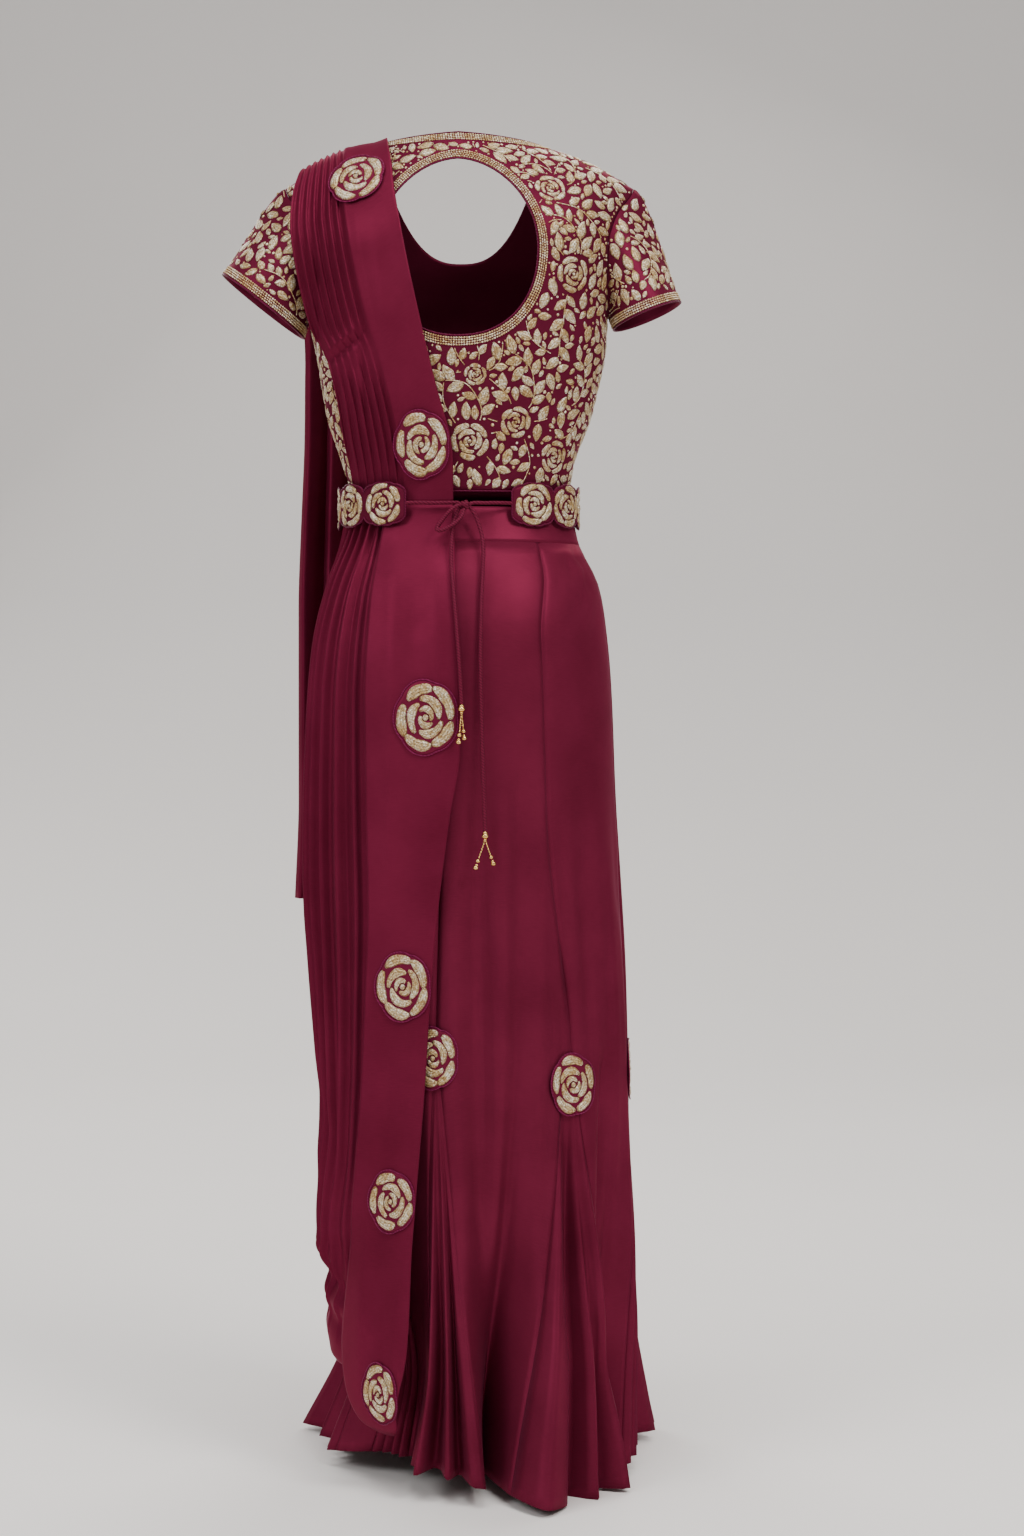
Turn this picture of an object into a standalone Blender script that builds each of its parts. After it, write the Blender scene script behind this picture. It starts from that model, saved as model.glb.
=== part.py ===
"""A stitched sari gown set, worn and seen as a hollow garment.

Blouse, eight-gore fishtail skirt with godets, a pleated pallu pinned on the left shoulder, a scalloped belt
tied at the back, and rose appliques. Metres, +Z up. The front faces -Y and the wearer's left is +X. The
origin lies midway between the shoulder seams. Heights in the tables are measured up from the hem.
"""

import math

import bmesh
import bpy
from mathutils import Vector
from mathutils.bvhtree import BVHTree

# Driving dimensions
SHOULDER_HEIGHT = 1.380
CLOTH = 0.0015
SEAM_GAP = 0.0003
CLOSE = 0.0002
WAIST_TOP = 1.021
WAIST_SEAM = 0.984
BLOUSE_HEM = 1.037
ARMPIT = 1.225
SHOULDER_TIP = (0.185, 1.363)
NECK_POINT = (0.089, 1.4065)
NAPE_HEIGHT = 1.4115
FRONT_NECK_HEIGHT = 1.300
SCOOP_SQUARENESS = 2.6
NAPE_SQUARENESS = 2.0
SHOULDER_ROUNDING = 0.120
SHOULDER_BULGE = 0.006
TORSO_SQUARENESS = 2.2
BACK_OPENING = {"height": 1.2885, "half_width": 0.083, "half_height": 0.0925}
BAND_WIDTH = 0.011
GODET_TOP = 0.425
GODET_POINT = 0.437
GODET_POINT_ANGLE = 0.9
GODET_OPENS = 1.6
HEM_FOLD_TOP = 0.460
HEM_FOLD_POWER = 1.3
SOFT_FOLD_REACH = 0.0045
BELT_BOTTOM = 1.001
BELT_TOP = 1.046
BELT_LEVEL = 1.010
BELT_THICKNESS = 0.0018
ROSE_THICKNESS = 0.0020
CORD_DIAMETER = 0.004
CORD_LEVEL = 1.0240
ROUTE_STEPS = 12
ROUTE_SPACING = 2.6

# Each row: height above the hem, half-width to the wearer's left and right, depth to the front and back
SKIRT_COLUMNS = ("height", "left", "right", "front", "back")
SKIRT_SECTIONS = (
    (0.000, 0.165, 0.182, 0.225, 0.178),
    (0.086, 0.130, 0.183, 0.196, 0.166),
    (0.149, 0.121, 0.184, 0.178, 0.157),
    (0.253, 0.125, 0.184, 0.155, 0.141),
    (0.371, 0.135, 0.182, 0.136, 0.127),
    (0.446, 0.140, 0.180, 0.128, 0.120),
    (0.542, 0.147, 0.177, 0.122, 0.117),
    (0.628, 0.153, 0.172, 0.118, 0.118),
    (0.713, 0.1535, 0.167, 0.116, 0.121),
    (0.820, 0.1495, 0.1630, 0.115, 0.126),
    (0.884, 0.1430, 0.1580, 0.112, 0.122),
    (0.943, 0.1290, 0.1480, 0.103, 0.107),
    (0.984, 0.1165, 0.1280, 0.091, 0.088),
    (1.021, 0.1120, 0.1190, 0.083, 0.076),
)
TORSO_SECTIONS = (
    (1.037, 0.1130, 0.1160, 0.0830, 0.0750),
    (1.055, 0.1195, 0.1190, 0.0860, 0.0770),
    (1.077, 0.1265, 0.1234, 0.0910, 0.0795),
    (1.118, 0.1400, 0.1394, 0.1050, 0.0850),
    (1.148, 0.1455, 0.1469, 0.1180, 0.0900),
    (1.182, 0.1510, 0.1544, 0.1300, 0.0940),
    (1.225, 0.1600, 0.1580, 0.1330, 0.0970),
    (1.260, 0.1640, 0.1640, 0.1250, 0.0990),
    (1.298, 0.1720, 0.1720, 0.1120, 0.0990),
    (1.340, 0.1810, 0.1810, 0.0980, 0.0950),
    (1.363, 0.1860, 0.1860, 0.0900, 0.0900),
    (1.420, 0.2000, 0.2000, 0.0800, 0.0850),
)
# Distance of the armhole seam from the middle, at each height above the armpit
ARMHOLE_COLUMNS = ("height", "reach")
ARMHOLE = (
    (1.225, 0.1580),
    (1.250, 0.1570),
    (1.298, 0.1565),
    (1.330, 0.1660),
    (1.363, 0.1850),
    (1.430, 0.1850),
)
# The sleeve's hem: its inner and outer points, then how far it reaches to the front and back
SLEEVES = {
    "sleeve_left": {"side": 1, "inner": (0.1660, 1.205), "outer": (0.252, 1.272), "half_depth": 0.056},
    "sleeve_right": {"side": -1, "inner": (0.1640, 1.214), "outer": (0.2357, 1.2425), "half_depth": 0.054},
}
# One row for each godet: the angle of its top and of its hem, half of the hem's angle, how far the hem lifts,
# the fold patterns of the godet and of the gore to its right
GODET_COLUMNS = ("angle", "hem_angle", "half_angle", "lift", "godet_folds", "gore_folds")
GODETS = (
    (9.0, 7.5, 17.0, 0.030, "back_left", "deep"),
    (50.0, 49.0, 14.0, 0.030, "tucked", "tucked"),
    (94.0, 94.0, 14.0, 0.014, "flat", "flat"),
    (139.0, 135.0, 17.0, 0.004, "wing", "soft"),
    (184.0, 184.0, 16.0, 0.000, "even", "soft"),
    (229.0, 236.0, 17.0, 0.006, "far_right", "soft"),
    (274.0, 277.0, 13.0, 0.016, "side", "soft"),
    (319.0, 321.0, 22.0, 0.000, "back_right", "soft"),
)
# How far the hem reaches out of the plain flare, in even steps from the wearer's right to left across a piece
GODET_FOLDS = {
    "even": (0.000, 0.022, -0.008, 0.030, 0.000, 0.030, -0.008, 0.022, 0.000),
    "back_left": (0.000, 0.004, -0.036, -0.004, -0.034, -0.042, -0.008, -0.036, -0.044),
    "back_right": (0.004, 0.034, -0.008, 0.026, -0.012, 0.022, 0.040, 0.052, 0.004),
    "side": (0.000, 0.010, -0.024, 0.008, -0.020, 0.010, -0.024, 0.008, 0.000),
    "tucked": (-0.070, -0.062, -0.074, -0.064, -0.072, -0.062, -0.072, -0.060, -0.060),
    "flat": (-0.030, -0.022, -0.034, -0.022, -0.034, -0.022, -0.032, -0.020, -0.020),
    "wing": (0.000, 0.044, 0.008, 0.052, 0.010, 0.034, -0.006, 0.022, 0.000),
    "far_right": (0.000, 0.034, -0.006, 0.044, 0.010, 0.066, 0.012, 0.048, 0.000),
}
GORE_FOLDS = {
    "soft": (0.000, -0.016, -0.034, -0.046, -0.034, -0.016, 0.000),
    "deep": (0.004, -0.036, -0.074, -0.108, -0.074, -0.036, 0.000),
    "tucked": (-0.044, -0.052, -0.060, -0.066, -0.070, -0.072, -0.070),
    "flat": (-0.060, -0.054, -0.048, -0.044, -0.040, -0.034, -0.030),
}
GORE_SOFT_WAVES = {
    "open": (0.2, -0.3, 0.5, 1.0, -0.8, 0.1, 0.2),
    "covered": (0.2, 0.1, 0.0, 0.1, 0.0, 0.1, 0.2),
}
# Over the shoulder, the pallu bridges the armhole and leans out a little towards the arm
BRIDGE_FADE = 0.045
SHOULDER_LEAN = 0.35
SHOULDER_LEAN_REACH = 0.160
UPPER_BRIDGE = (0.145, 0.30)
FALL_BRIDGE = (0.130, 0.25)
# Upper back of the pallu: both edges, each at its own height
UPPER_COLUMNS = ("outer_height", "outer", "inner_height", "inner", "pinch", "lift")
PALLU_UPPER = (
    (1.3745, 0.1620, 1.4176, 0.0785, 0.50, 0.0068),
    (1.3640, 0.1660, 1.3980, 0.0735, 0.80, 0.0076),
    (1.3430, 0.1690, 1.3750, 0.0685, 1.00, 0.0085),
    (1.3100, 0.1710, 1.3420, 0.0643, 1.00, 0.0085),
    (1.2600, 0.1640, 1.2750, 0.0520, 1.00, 0.0085),
    (1.2100, 0.1520, 1.2100, 0.0380, 0.80, 0.0085),
    (1.1800, 0.1380, 1.1800, 0.0310, 0.20, 0.0085),
    (1.1400, 0.1260, 1.1400, 0.0210, 0.90, 0.0085),
    (1.0950, 0.1190, 1.0930, 0.0080, 1.00, 0.0080),
    (1.0600, 0.1125, 1.0600, 0.0050, 0.70, 0.0080),
    (1.0245, 0.1080, 1.0245, 0.0050, 0.30, 0.0075),
)
UPPER_PLEAT = 0.0022
# Lower back of the pallu: inner edge, fold that ends the flat border, angle of the outer edge, how far the
# border and the pleats stand off the skirt's flare, and the reach of the pleats
LOWER_COLUMNS = ("height", "inner", "fold", "outer_angle", "border_off", "pleats_off", "pleat")
PALLU_LOWER = (
    (0.0560, 0.0700, 0.1000, 66.0, -0.0260, 0.014, 0.0010),
    (0.0700, 0.0650, 0.1050, 70.0, -0.0060, 0.014, 0.0010),
    (0.1000, 0.0560, 0.1060, 74.0, 0.0100, 0.014, 0.0020),
    (0.1500, 0.0450, 0.1060, 80.0, 0.0150, 0.014, 0.0030),
    (0.2600, 0.0415, 0.1000, 101.0, 0.0135, 0.0245, 0.0010),
    (0.2850, 0.0400, 0.0990, 102.0, 0.0132, 0.0225, 0.0026),
    (0.3300, 0.0370, 0.0950, 102.0, 0.0130, 0.0150, 0.0050),
    (0.4100, 0.0315, 0.0900, 101.0, 0.0125, 0.0120, 0.0058),
    (0.5100, 0.0260, 0.0870, 100.0, 0.0120, 0.0115, 0.0060),
    (0.6000, 0.0190, 0.0850, 101.0, 0.0110, 0.0110, 0.0060),
    (0.7000, 0.0070, 0.0870, 101.0, 0.0105, 0.0105, 0.0058),
    (0.7600, -0.0028, 0.0880, 101.0, 0.0100, 0.0100, 0.0055),
    (0.8300, -0.0038, 0.0890, 100.0, 0.0095, 0.0100, 0.0052),
    (0.9220, 0.0010, 0.0840, 97.0, 0.0090, 0.0095, 0.0045),
    (0.9630, 0.0023, 0.0790, 91.0, 0.0080, 0.0085, 0.0035),
    (1.0000, 0.0040, 0.0739, 82.0, 0.0078, 0.0070, 0.0021),
    (1.0240, 0.0050, 0.0715, 76.0, 0.0078, 0.0066, 0.0019),
)
PALLU_TOP = 1.0240
BORDER_HEM = 0.060
BORDER_ROUND = 0.012
PLEATS_HEM = 0.268
FOLD_UNDER = 2.2
PLEATS_FREE_FROM = 0.35
# Front fall: edges, distance in front of the middle of the body, fold depth
FALL_COLUMNS = ("height", "inner", "outer", "depth", "fold")
FRONT_FALL = (
    (0.600, 0.040, 0.184, 0.133, 0.0080),
    (0.700, 0.042, 0.180, 0.134, 0.0078),
    (0.820, 0.045, 0.180, 0.136, 0.0075),
    (0.930, 0.048, 0.180, 0.139, 0.0070),
    (1.020, 0.050, 0.177, 0.143, 0.0060),
    (1.100, 0.052, 0.174, 0.147, 0.0050),
    (1.200, 0.055, 0.173, 0.150, 0.0035),
    (1.280, 0.062, 0.171, 0.146, 0.0025),
)
FALL_LEAVES = 1.190
FALL_LEAVES_OVER = 0.100
FALL_FOLD_ON_BODY = 0.6
FALL_SPREADS = 0.2
FALL_SIDE_CURVE = 2.1
FALL_LIFT = 0.0072
# Cascade on the left side: how far its swags stand off the skirt's flare, and the angle of its far edge
CASCADE_COLUMNS = ("height", "end", "stand_off")
CASCADE = (
    (0.1200, 100.0, 0.0110),
    (0.1290, 104.0, 0.0165),
    (0.1480, 108.0, 0.0185),
    (0.1800, 110.0, 0.0225),
    (0.2130, 110.0, 0.0165),
    (0.2440, 108.0, 0.0270),
    (0.2672, 102.0, 0.0245),
)
CASCADE_START_OFF = 0.0060
CASCADE_SAG = 0.012
CASCADE_FULL_FROM = 0.45
# Rose appliques on the pallu: height, distance from the middle, half-width and half-height
ROSE_COLUMNS = ("name", "height", "across", "half_width", "half_height")
PALLU_ROSES = (
    ("rose_shoulder", 1.3620, 0.1055, 0.0315, 0.0315),
    ("rose_waist", 1.0840, 0.0375, 0.0298, 0.0365),
    ("rose_hip", 0.8015, 0.0320, 0.0340, 0.0395),
    ("rose_thigh", 0.5245, 0.0560, 0.0305, 0.0365),
    ("rose_knee", 0.3040, 0.0680, 0.0282, 0.0330),
    ("rose_hem", 0.1080, 0.0800, 0.0255, 0.0330),
)
# Roses at the godet tops: name, angle from the middle of the back, height
SKIRT_ROSES = (
    ("rose_godet_1", 9.0, 0.4510),
    ("rose_godet_4", 139.0, 0.4350),
    ("rose_godet_5", 184.0, 0.4400),
    ("rose_godet_6", 229.0, 0.4350),
    ("rose_godet_7", 274.0, 0.4250),
    ("rose_godet_8", 319.0, 0.4200),
)
SKIRT_ROSE_SIZE = (0.0270, 0.0330)
ROSE_GAP = 0.0010
ROSE_COLUMNS_AROUND = 20
# Belt: the angles of its two back ends, counted from the middle of the back through the wearer's left
BELT_START = 26.0
BELT_END = 333.5
BELT_ROSES = 12
BELT_OFF_WAIST = 0.0060
BELT_OFF_PALLU = 0.0155
BELT_ON_PALLU_UNTIL = 200.0
BELT_RISES_OVER = 90.0
BELT_SCALLOP = 0.0080
SCALLOP_SQUARENESS = 0.7

COLOURS = {
    "crepe": (0.185, 0.020, 0.042, 1.0),
    "embroidered": (0.300, 0.190, 0.120, 1.0),
    "gold": (0.560, 0.400, 0.230, 1.0),
    "cord": (0.150, 0.018, 0.036, 1.0),
    "tassel": (0.800, 0.560, 0.220, 1.0),
}
ROUGHNESS = {"crepe": 0.5, "embroidered": 0.5, "gold": 0.35, "cord": 0.6, "tassel": 0.25}
METALLIC = {"crepe": 0.0, "embroidered": 0.2, "gold": 0.7, "cord": 0.0, "tassel": 1.0}


# Reading tables
def interpolate(rows, key_column, column, at):
    """A smooth value between the rows of a table sorted by its key column."""
    keys = [row[key_column] for row in rows]
    values = [row[column] for row in rows]
    if at <= keys[0]:
        return values[0]
    if at >= keys[-1]:
        return values[-1]
    i = max(k for k in range(len(keys) - 1) if keys[k] <= at)
    span = keys[i + 1] - keys[i]
    t = (at - keys[i]) / span

    def slope(k):
        low, high = max(k - 1, 0), min(k + 1, len(keys) - 1)
        return (values[high] - values[low]) / (keys[high] - keys[low])

    a, b = slope(i) * span, slope(i + 1) * span
    rise = values[i + 1] - values[i]
    if rise == 0:
        return values[i]
    limit = 3 * abs(rise)
    a = math.copysign(min(abs(a), limit), rise) if a * rise > 0 else 0.0
    b = math.copysign(min(abs(b), limit), rise) if b * rise > 0 else 0.0
    t2, t3 = t * t, t * t * t
    return (
        values[i] * (2 * t3 - 3 * t2 + 1)
        + values[i + 1] * (3 * t2 - 2 * t3)
        + a * (t3 - 2 * t2 + t)
        + b * (t3 - t2)
    )


def read(table, columns, column, at):
    return interpolate(table, 0, columns.index(column), at)


def mix(a, b, t):
    return a + (b - a) * t


def ease(t):
    t = min(max(t, 0.0), 1.0)
    return t * t * (3 - 2 * t)


def world(x, y, height):
    return Vector((x, y, height - SHOULDER_HEIGHT))


# Surfaces of the body-shaped pieces
def section_point(sections, angle, height, squareness):
    """A point of a section. Angle 0 is the middle of the back, and 90 degrees is the wearer's left side."""
    turn = math.radians(angle)
    s, c = math.sin(turn), math.cos(turn)
    side = read(sections, SKIRT_COLUMNS, "left" if s > 0 else "right", height)
    depth = read(sections, SKIRT_COLUMNS, "back" if c > 0 else "front", height)
    power = 2.0 / squareness
    return math.copysign(side * abs(s) ** power, s), math.copysign(depth * abs(c) ** power, c)


def skirt_base(angle, height):
    x, y = section_point(SKIRT_SECTIONS, angle, height, 2.0)
    return world(x, y, height)


def base_normal(angle, height):
    """Outward level direction of the unfolded skirt."""
    a = skirt_base(angle - 1.0, height)
    b = skirt_base(angle + 1.0, height)
    return Vector((-(b.y - a.y), b.x - a.x, 0.0)).normalized()


def seam_shift(angle, height):
    """The gore seams lie closer to the middle at the hip than at the waist and the knee."""
    hip = ease((1.0 - height) / 0.12) * ease((height - 0.45) / 0.25)
    return angle - 8.0 * hip * math.sin(math.radians(2 * angle))


def hem_lift(angle):
    hem = GODET_COLUMNS.index("hem_angle")
    lift = GODET_COLUMNS.index("lift")
    rows = [(row[hem] + turn * 360.0, row[lift]) for turn in (-1, 0, 1) for row in GODETS]
    return interpolate(rows, 0, 1, angle % 360.0)


def hem_share(height):
    """How much of the hem's folds is left at a height."""
    return (max(HEM_FOLD_TOP - height, 0.0) / HEM_FOLD_TOP) ** HEM_FOLD_POWER


def soft_share(height):
    """The gores' soft folds start below the hip and give way to the hem's folds."""
    return ease((0.80 - height) / 0.22) * (1 - 0.7 * ease((0.35 - height) / 0.30))


def skirt_point(angle, height, reach, soft):
    """A point of the skirt, pushed out by its folds, with the hem's lift taken up near the floor."""
    out = reach * hem_share(height) + soft * SOFT_FOLD_REACH * soft_share(height)
    lift = hem_lift(angle) * ease((0.25 - height) / 0.25)
    at = skirt_base(angle, height) + base_normal(angle, height) * out
    return at + Vector((0.0, 0.0, lift))


def shoulder_line(x):
    along = (abs(x) - NECK_POINT[0]) / (SHOULDER_TIP[0] - NECK_POINT[0])
    bulge = SHOULDER_BULGE * math.sin(math.pi * min(max(along, 0.0), 1.0))
    return mix(NECK_POINT[1], SHOULDER_TIP[1], along) + bulge


def torso_angle(x, height):
    """The section angle, from the middle, at which the torso is this far to the side."""
    side = read(TORSO_SECTIONS, SKIRT_COLUMNS, "left" if x > 0 else "right", height)
    share = min(abs(x) / side, 1.0) ** (TORSO_SQUARENESS / 2)
    return math.copysign(math.degrees(math.asin(share)), x)


def edge_angle(height, side):
    if height <= ARMPIT:
        return 90.0
    return abs(torso_angle(side * read(ARMHOLE, ARMHOLE_COLUMNS, "reach", height), height))


def torso_point(angle, height, front):
    """A point of the blouse. The angle runs from -90 at the right side to 90 at the left."""
    x, y = section_point(TORSO_SECTIONS, angle, height, TORSO_SQUARENESS)
    if front:
        y *= read(TORSO_SECTIONS, SKIRT_COLUMNS, "front", height) / read(
            TORSO_SECTIONS, SKIRT_COLUMNS, "back", height
        )
    below = min(max((shoulder_line(x) - height) / SHOULDER_ROUNDING, 0.0), 1.0)
    y = abs(y) * math.sqrt(1 - (1 - below) ** 2) + SEAM_GAP / 2
    return world(x, -y if front else y, height)


# Building walls
def normals_of(grid, closed=False):
    """Unit normals of a grid of points. Each lies halfway between the folds' two sides."""

    def neighbour(points, i, step, wrap):
        """Unit direction to the next point that doesn't coincide with this one."""
        for k in range(1, len(points)):
            at = i + step * k
            if not wrap and not 0 <= at < len(points):
                break
            away = points[at % len(points)] - points[i]
            if away.length > CLOSE:
                return away.normalized()
        return Vector()

    def tangent(points, i, wrap):
        return neighbour(points, i, 1, wrap) - neighbour(points, i, -1, wrap)

    result = []
    for r, row in enumerate(grid):
        line = []
        for c in range(len(row)):
            across = tangent(row, c, closed)
            along = tangent([other[c] for other in grid], r, False)
            line.append(along.cross(across).normalized())
        result.append(line)
    return result


def inside(grid, normals, thickness=CLOTH):
    return [[p - n * thickness for p, n in zip(a, b)] for a, b in zip(grid, normals)]


def wall_object(name, outer, inner, material, closed=False):
    """A closed wall between two grids of points that have the same rows and columns."""
    mesh = bpy.data.meshes.new(name)
    bm = bmesh.new()
    a = [[bm.verts.new(p) for p in row] for row in outer]
    b = [[bm.verts.new(p) for p in row] for row in inner]
    rows, count = len(a), len(a[0])
    spans = count if closed else count - 1
    for r in range(rows - 1):
        for c in range(spans):
            d = (c + 1) % count
            for face in (a, b):
                bm.faces.new((face[r][c], face[r][d], face[r + 1][d]))
                bm.faces.new((face[r][c], face[r + 1][d], face[r + 1][c]))
    for c in range(spans):
        d = (c + 1) % count
        bm.faces.new((a[0][d], a[0][c], b[0][c], b[0][d]))
        bm.faces.new((a[-1][c], a[-1][d], b[-1][d], b[-1][c]))
    if not closed:
        for r in range(rows - 1):
            for c in (0, -1):
                bm.faces.new((a[r][c], a[r + 1][c], b[r + 1][c]))
                bm.faces.new((a[r][c], b[r + 1][c], b[r][c]))
    bmesh.ops.recalc_face_normals(bm, faces=bm.faces)
    if bm.calc_volume(signed=True) < 0:
        bmesh.ops.reverse_faces(bm, faces=bm.faces)
    bm.to_mesh(mesh)
    bm.free()
    return finish(bpy.data.objects.new(name, mesh), material)


def finish(obj, material):
    """Links an object to the garment's collection, with its own material and smooth shading."""
    surface = bpy.data.materials.new(f"{obj.name}_{material}")
    surface.use_nodes = True
    shader = surface.node_tree.nodes["Principled BSDF"]
    shader.inputs["Base Color"].default_value = COLOURS[material]
    shader.inputs["Roughness"].default_value = ROUGHNESS[material]
    shader.inputs["Metallic"].default_value = METALLIC[material]
    obj.data.materials.append(surface)
    GARMENT.objects.link(obj)
    if obj.type == "MESH":
        obj.data.shade_smooth()
    return obj


def ring_normal_level(normal):
    """A seam's shared normal: no part of it points to the front or back."""
    return Vector((normal.x, 0.0, normal.z)).normalized()


def level_normal(normal):
    """A normal laid level, so that a wall's edge stays at its own height."""
    return Vector((normal.x, normal.y, 0.0)).normalized()


# Skirt
SKIRT_HEIGHTS = (
    (0.0, 0.045, 0.095, 0.150, 0.210, 0.275, 0.340, 0.390, GODET_TOP, GODET_POINT)
    + (0.520, 0.620, 0.720, 0.820, 0.890, 0.945)
)
GORE_SPANS = 6
GODET_SPANS = 8


def godet_edges(godet, height):
    """The two seam angles of a godet at a height. Above its point they are one seam."""
    below = max(GODET_POINT - height, 0.0) / GODET_POINT
    centre = mix(seam_shift(godet["angle"], height), godet["hem_angle"], below)
    half = 0.0 if below == 0.0 else mix(GODET_POINT_ANGLE, godet["half_angle"], below)
    return centre - half, centre + half


def module_columns(index, height):
    """A gore and the godet to its left: (angle, hem reach, soft fold) across both, seam points included."""
    godet = dict(zip(GODET_COLUMNS, GODETS[index]))
    start = godet_edges(dict(zip(GODET_COLUMNS, GODETS[index - 1])), height)[1]
    if index == 0:
        start -= 360.0
    end, far = godet_edges(godet, height)
    columns = []
    gore_folds = GORE_FOLDS[godet["gore_folds"]]
    soft_wave = GORE_SOFT_WAVES["covered" if godet["gore_folds"] in ("tucked", "flat") else "open"]
    for i in range(GORE_SPANS + 1):
        columns.append((mix(start, end, i / GORE_SPANS), gore_folds[i], soft_wave[i]))
    godet_folds = GODET_FOLDS[godet["godet_folds"]]
    opened = min(GODET_OPENS * max(GODET_POINT - height, 0.0) / GODET_POINT, 1.0)
    for i in range(1, GODET_SPANS):
        across = i / GODET_SPANS
        reach = mix(mix(godet_folds[0], godet_folds[-1], across), godet_folds[i], opened)
        columns.append((mix(end, far, across), reach, soft_wave[0]))
    return columns


def inset(row, low, high):
    """A row cut from a wider one, its two ends drawn in by half the seam's gap."""
    cut = list(row[low : high + 1])
    cut[0] = cut[0] + (cut[1] - cut[0]).normalized() * (SEAM_GAP / 2)
    cut[-1] = cut[-1] + (cut[-2] - cut[-1]).normalized() * (SEAM_GAP / 2)
    return cut


def build_skirt():
    heights = list(SKIRT_HEIGHTS) + [WAIST_SEAM - SEAM_GAP]
    per_module = GORE_SPANS + GODET_SPANS
    grid = []
    for height in heights:
        row = []
        for index in range(len(GODETS)):
            row += [skirt_point(angle, height, *folds) for angle, *folds in module_columns(index, height)]
        grid.append(row)
    normals = normals_of(grid, closed=True)
    for index in range(len(GODETS)):
        low = index * per_module
        gore_points, gore_normals = [], []
        godet_points, godet_normals = [], []
        for row, row_normals, height in zip(grid, normals, heights):
            gore_points.append(inset(row, low, low + GORE_SPANS))
            gore_normals.append(row_normals[low : low + GORE_SPANS + 1])
            if height <= GODET_TOP:
                around = row + row[:1]
                around_normals = row_normals + row_normals[:1]
                first = low + GORE_SPANS
                godet_points.append(inset(around, first, first + GODET_SPANS))
                godet_normals.append(around_normals[first : first + GODET_SPANS + 1])
        wall_object(f"skirt_gore_{index + 1}", gore_points, inside(gore_points, gore_normals), "crepe")
        wall_object(f"skirt_godet_{index + 1}", godet_points, inside(godet_points, godet_normals), "crepe")
    return [row + row[:1] for row in grid]


def build_waistband():
    spans = 36
    grid = []
    for height in (WAIST_SEAM, WAIST_TOP):
        grid.append([skirt_base(360.0 * i / spans, height) for i in range(spans)])
    normals = normals_of(grid, closed=True)
    wall_object("skirt_waistband", grid, inside(grid, normals), "crepe", closed=True)


# Blouse
LOWER_ROWS = 5
UPPER_ROWS = 7
SIDE_COLUMNS = 3
NECK_COLUMNS = 6


def side_heights():
    lower = [mix(BLOUSE_HEM, ARMPIT, i / LOWER_ROWS) for i in range(LOWER_ROWS)]
    upper = [mix(ARMPIT, SHOULDER_TIP[1], i / UPPER_ROWS) for i in range(UPPER_ROWS + 1)]
    return lower + upper


def top_edge(front):
    """Half of the top edge, from the middle of the neck to the shoulder tip, as (across, height)."""
    points = []
    for i in range(NECK_COLUMNS):
        x = NECK_POINT[0] * math.sin(math.pi / 2 * i / NECK_COLUMNS)
        share = x / NECK_POINT[0]
        if front:
            height = mix(FRONT_NECK_HEIGHT, NECK_POINT[1], share**SCOOP_SQUARENESS)
        else:
            height = mix(NAPE_HEIGHT, NECK_POINT[1], share**NAPE_SQUARENESS)
        points.append((x, height))
    for i in range(SIDE_COLUMNS + 1):
        x = mix(NECK_POINT[0], SHOULDER_TIP[0], i / SIDE_COLUMNS)
        points.append((x, shoulder_line(x)))
    return points


def build_blouse_front():
    half = top_edge(front=True)
    top = [(-x, h) for x, h in reversed(half[1:])] + half
    count = len(top)
    grid = []
    for row, side_height in enumerate(side_heights()):
        line = []
        for i, (x_top, height_top) in enumerate(top):
            t = mix(-1.0, 1.0, i / (count - 1))
            side = 1 if t > 0 else -1
            if row <= LOWER_ROWS:
                line.append(torso_point(90.0 * t, side_height, True))
                continue
            rise = (row - LOWER_ROWS) / UPPER_ROWS
            height = mix(ARMPIT, height_top, rise)
            if abs(t) == 1.0:
                height = side_height
            t_top = abs(torso_angle(x_top, height_top)) / edge_angle(height_top, side)
            share = mix(abs(t), t_top, rise)
            line.append(torso_point(side * share * edge_angle(height, side), height, True))
        grid.append(line)
    normals = normals_of(grid)
    level_seams(normals)
    wall_object("blouse_front", grid, inside(grid, normals), "embroidered")
    return grid, normals


def level_seams(normals):
    """The side and shoulder seams share their normals with the piece across the seam."""
    for row in normals[: LOWER_ROWS + 1]:
        row[0] = ring_normal_level(row[0])
        row[-1] = ring_normal_level(row[-1])
    for c in list(range(SIDE_COLUMNS + 1)) + list(range(-SIDE_COLUMNS - 1, 0)):
        normals[-1][c] = ring_normal_level(normals[-1][c])


def opening_point(turn):
    """The back opening's edge at an angle from straight down, as (across, height)."""
    s, c = math.sin(turn), -math.cos(turn)
    squareness = 2.2 if c < 0 else 1.9
    scale = (
        abs(s / BACK_OPENING["half_width"]) ** squareness + abs(c / BACK_OPENING["half_height"]) ** squareness
    ) ** (-1 / squareness)
    return s * scale, BACK_OPENING["height"] + c * scale


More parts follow.
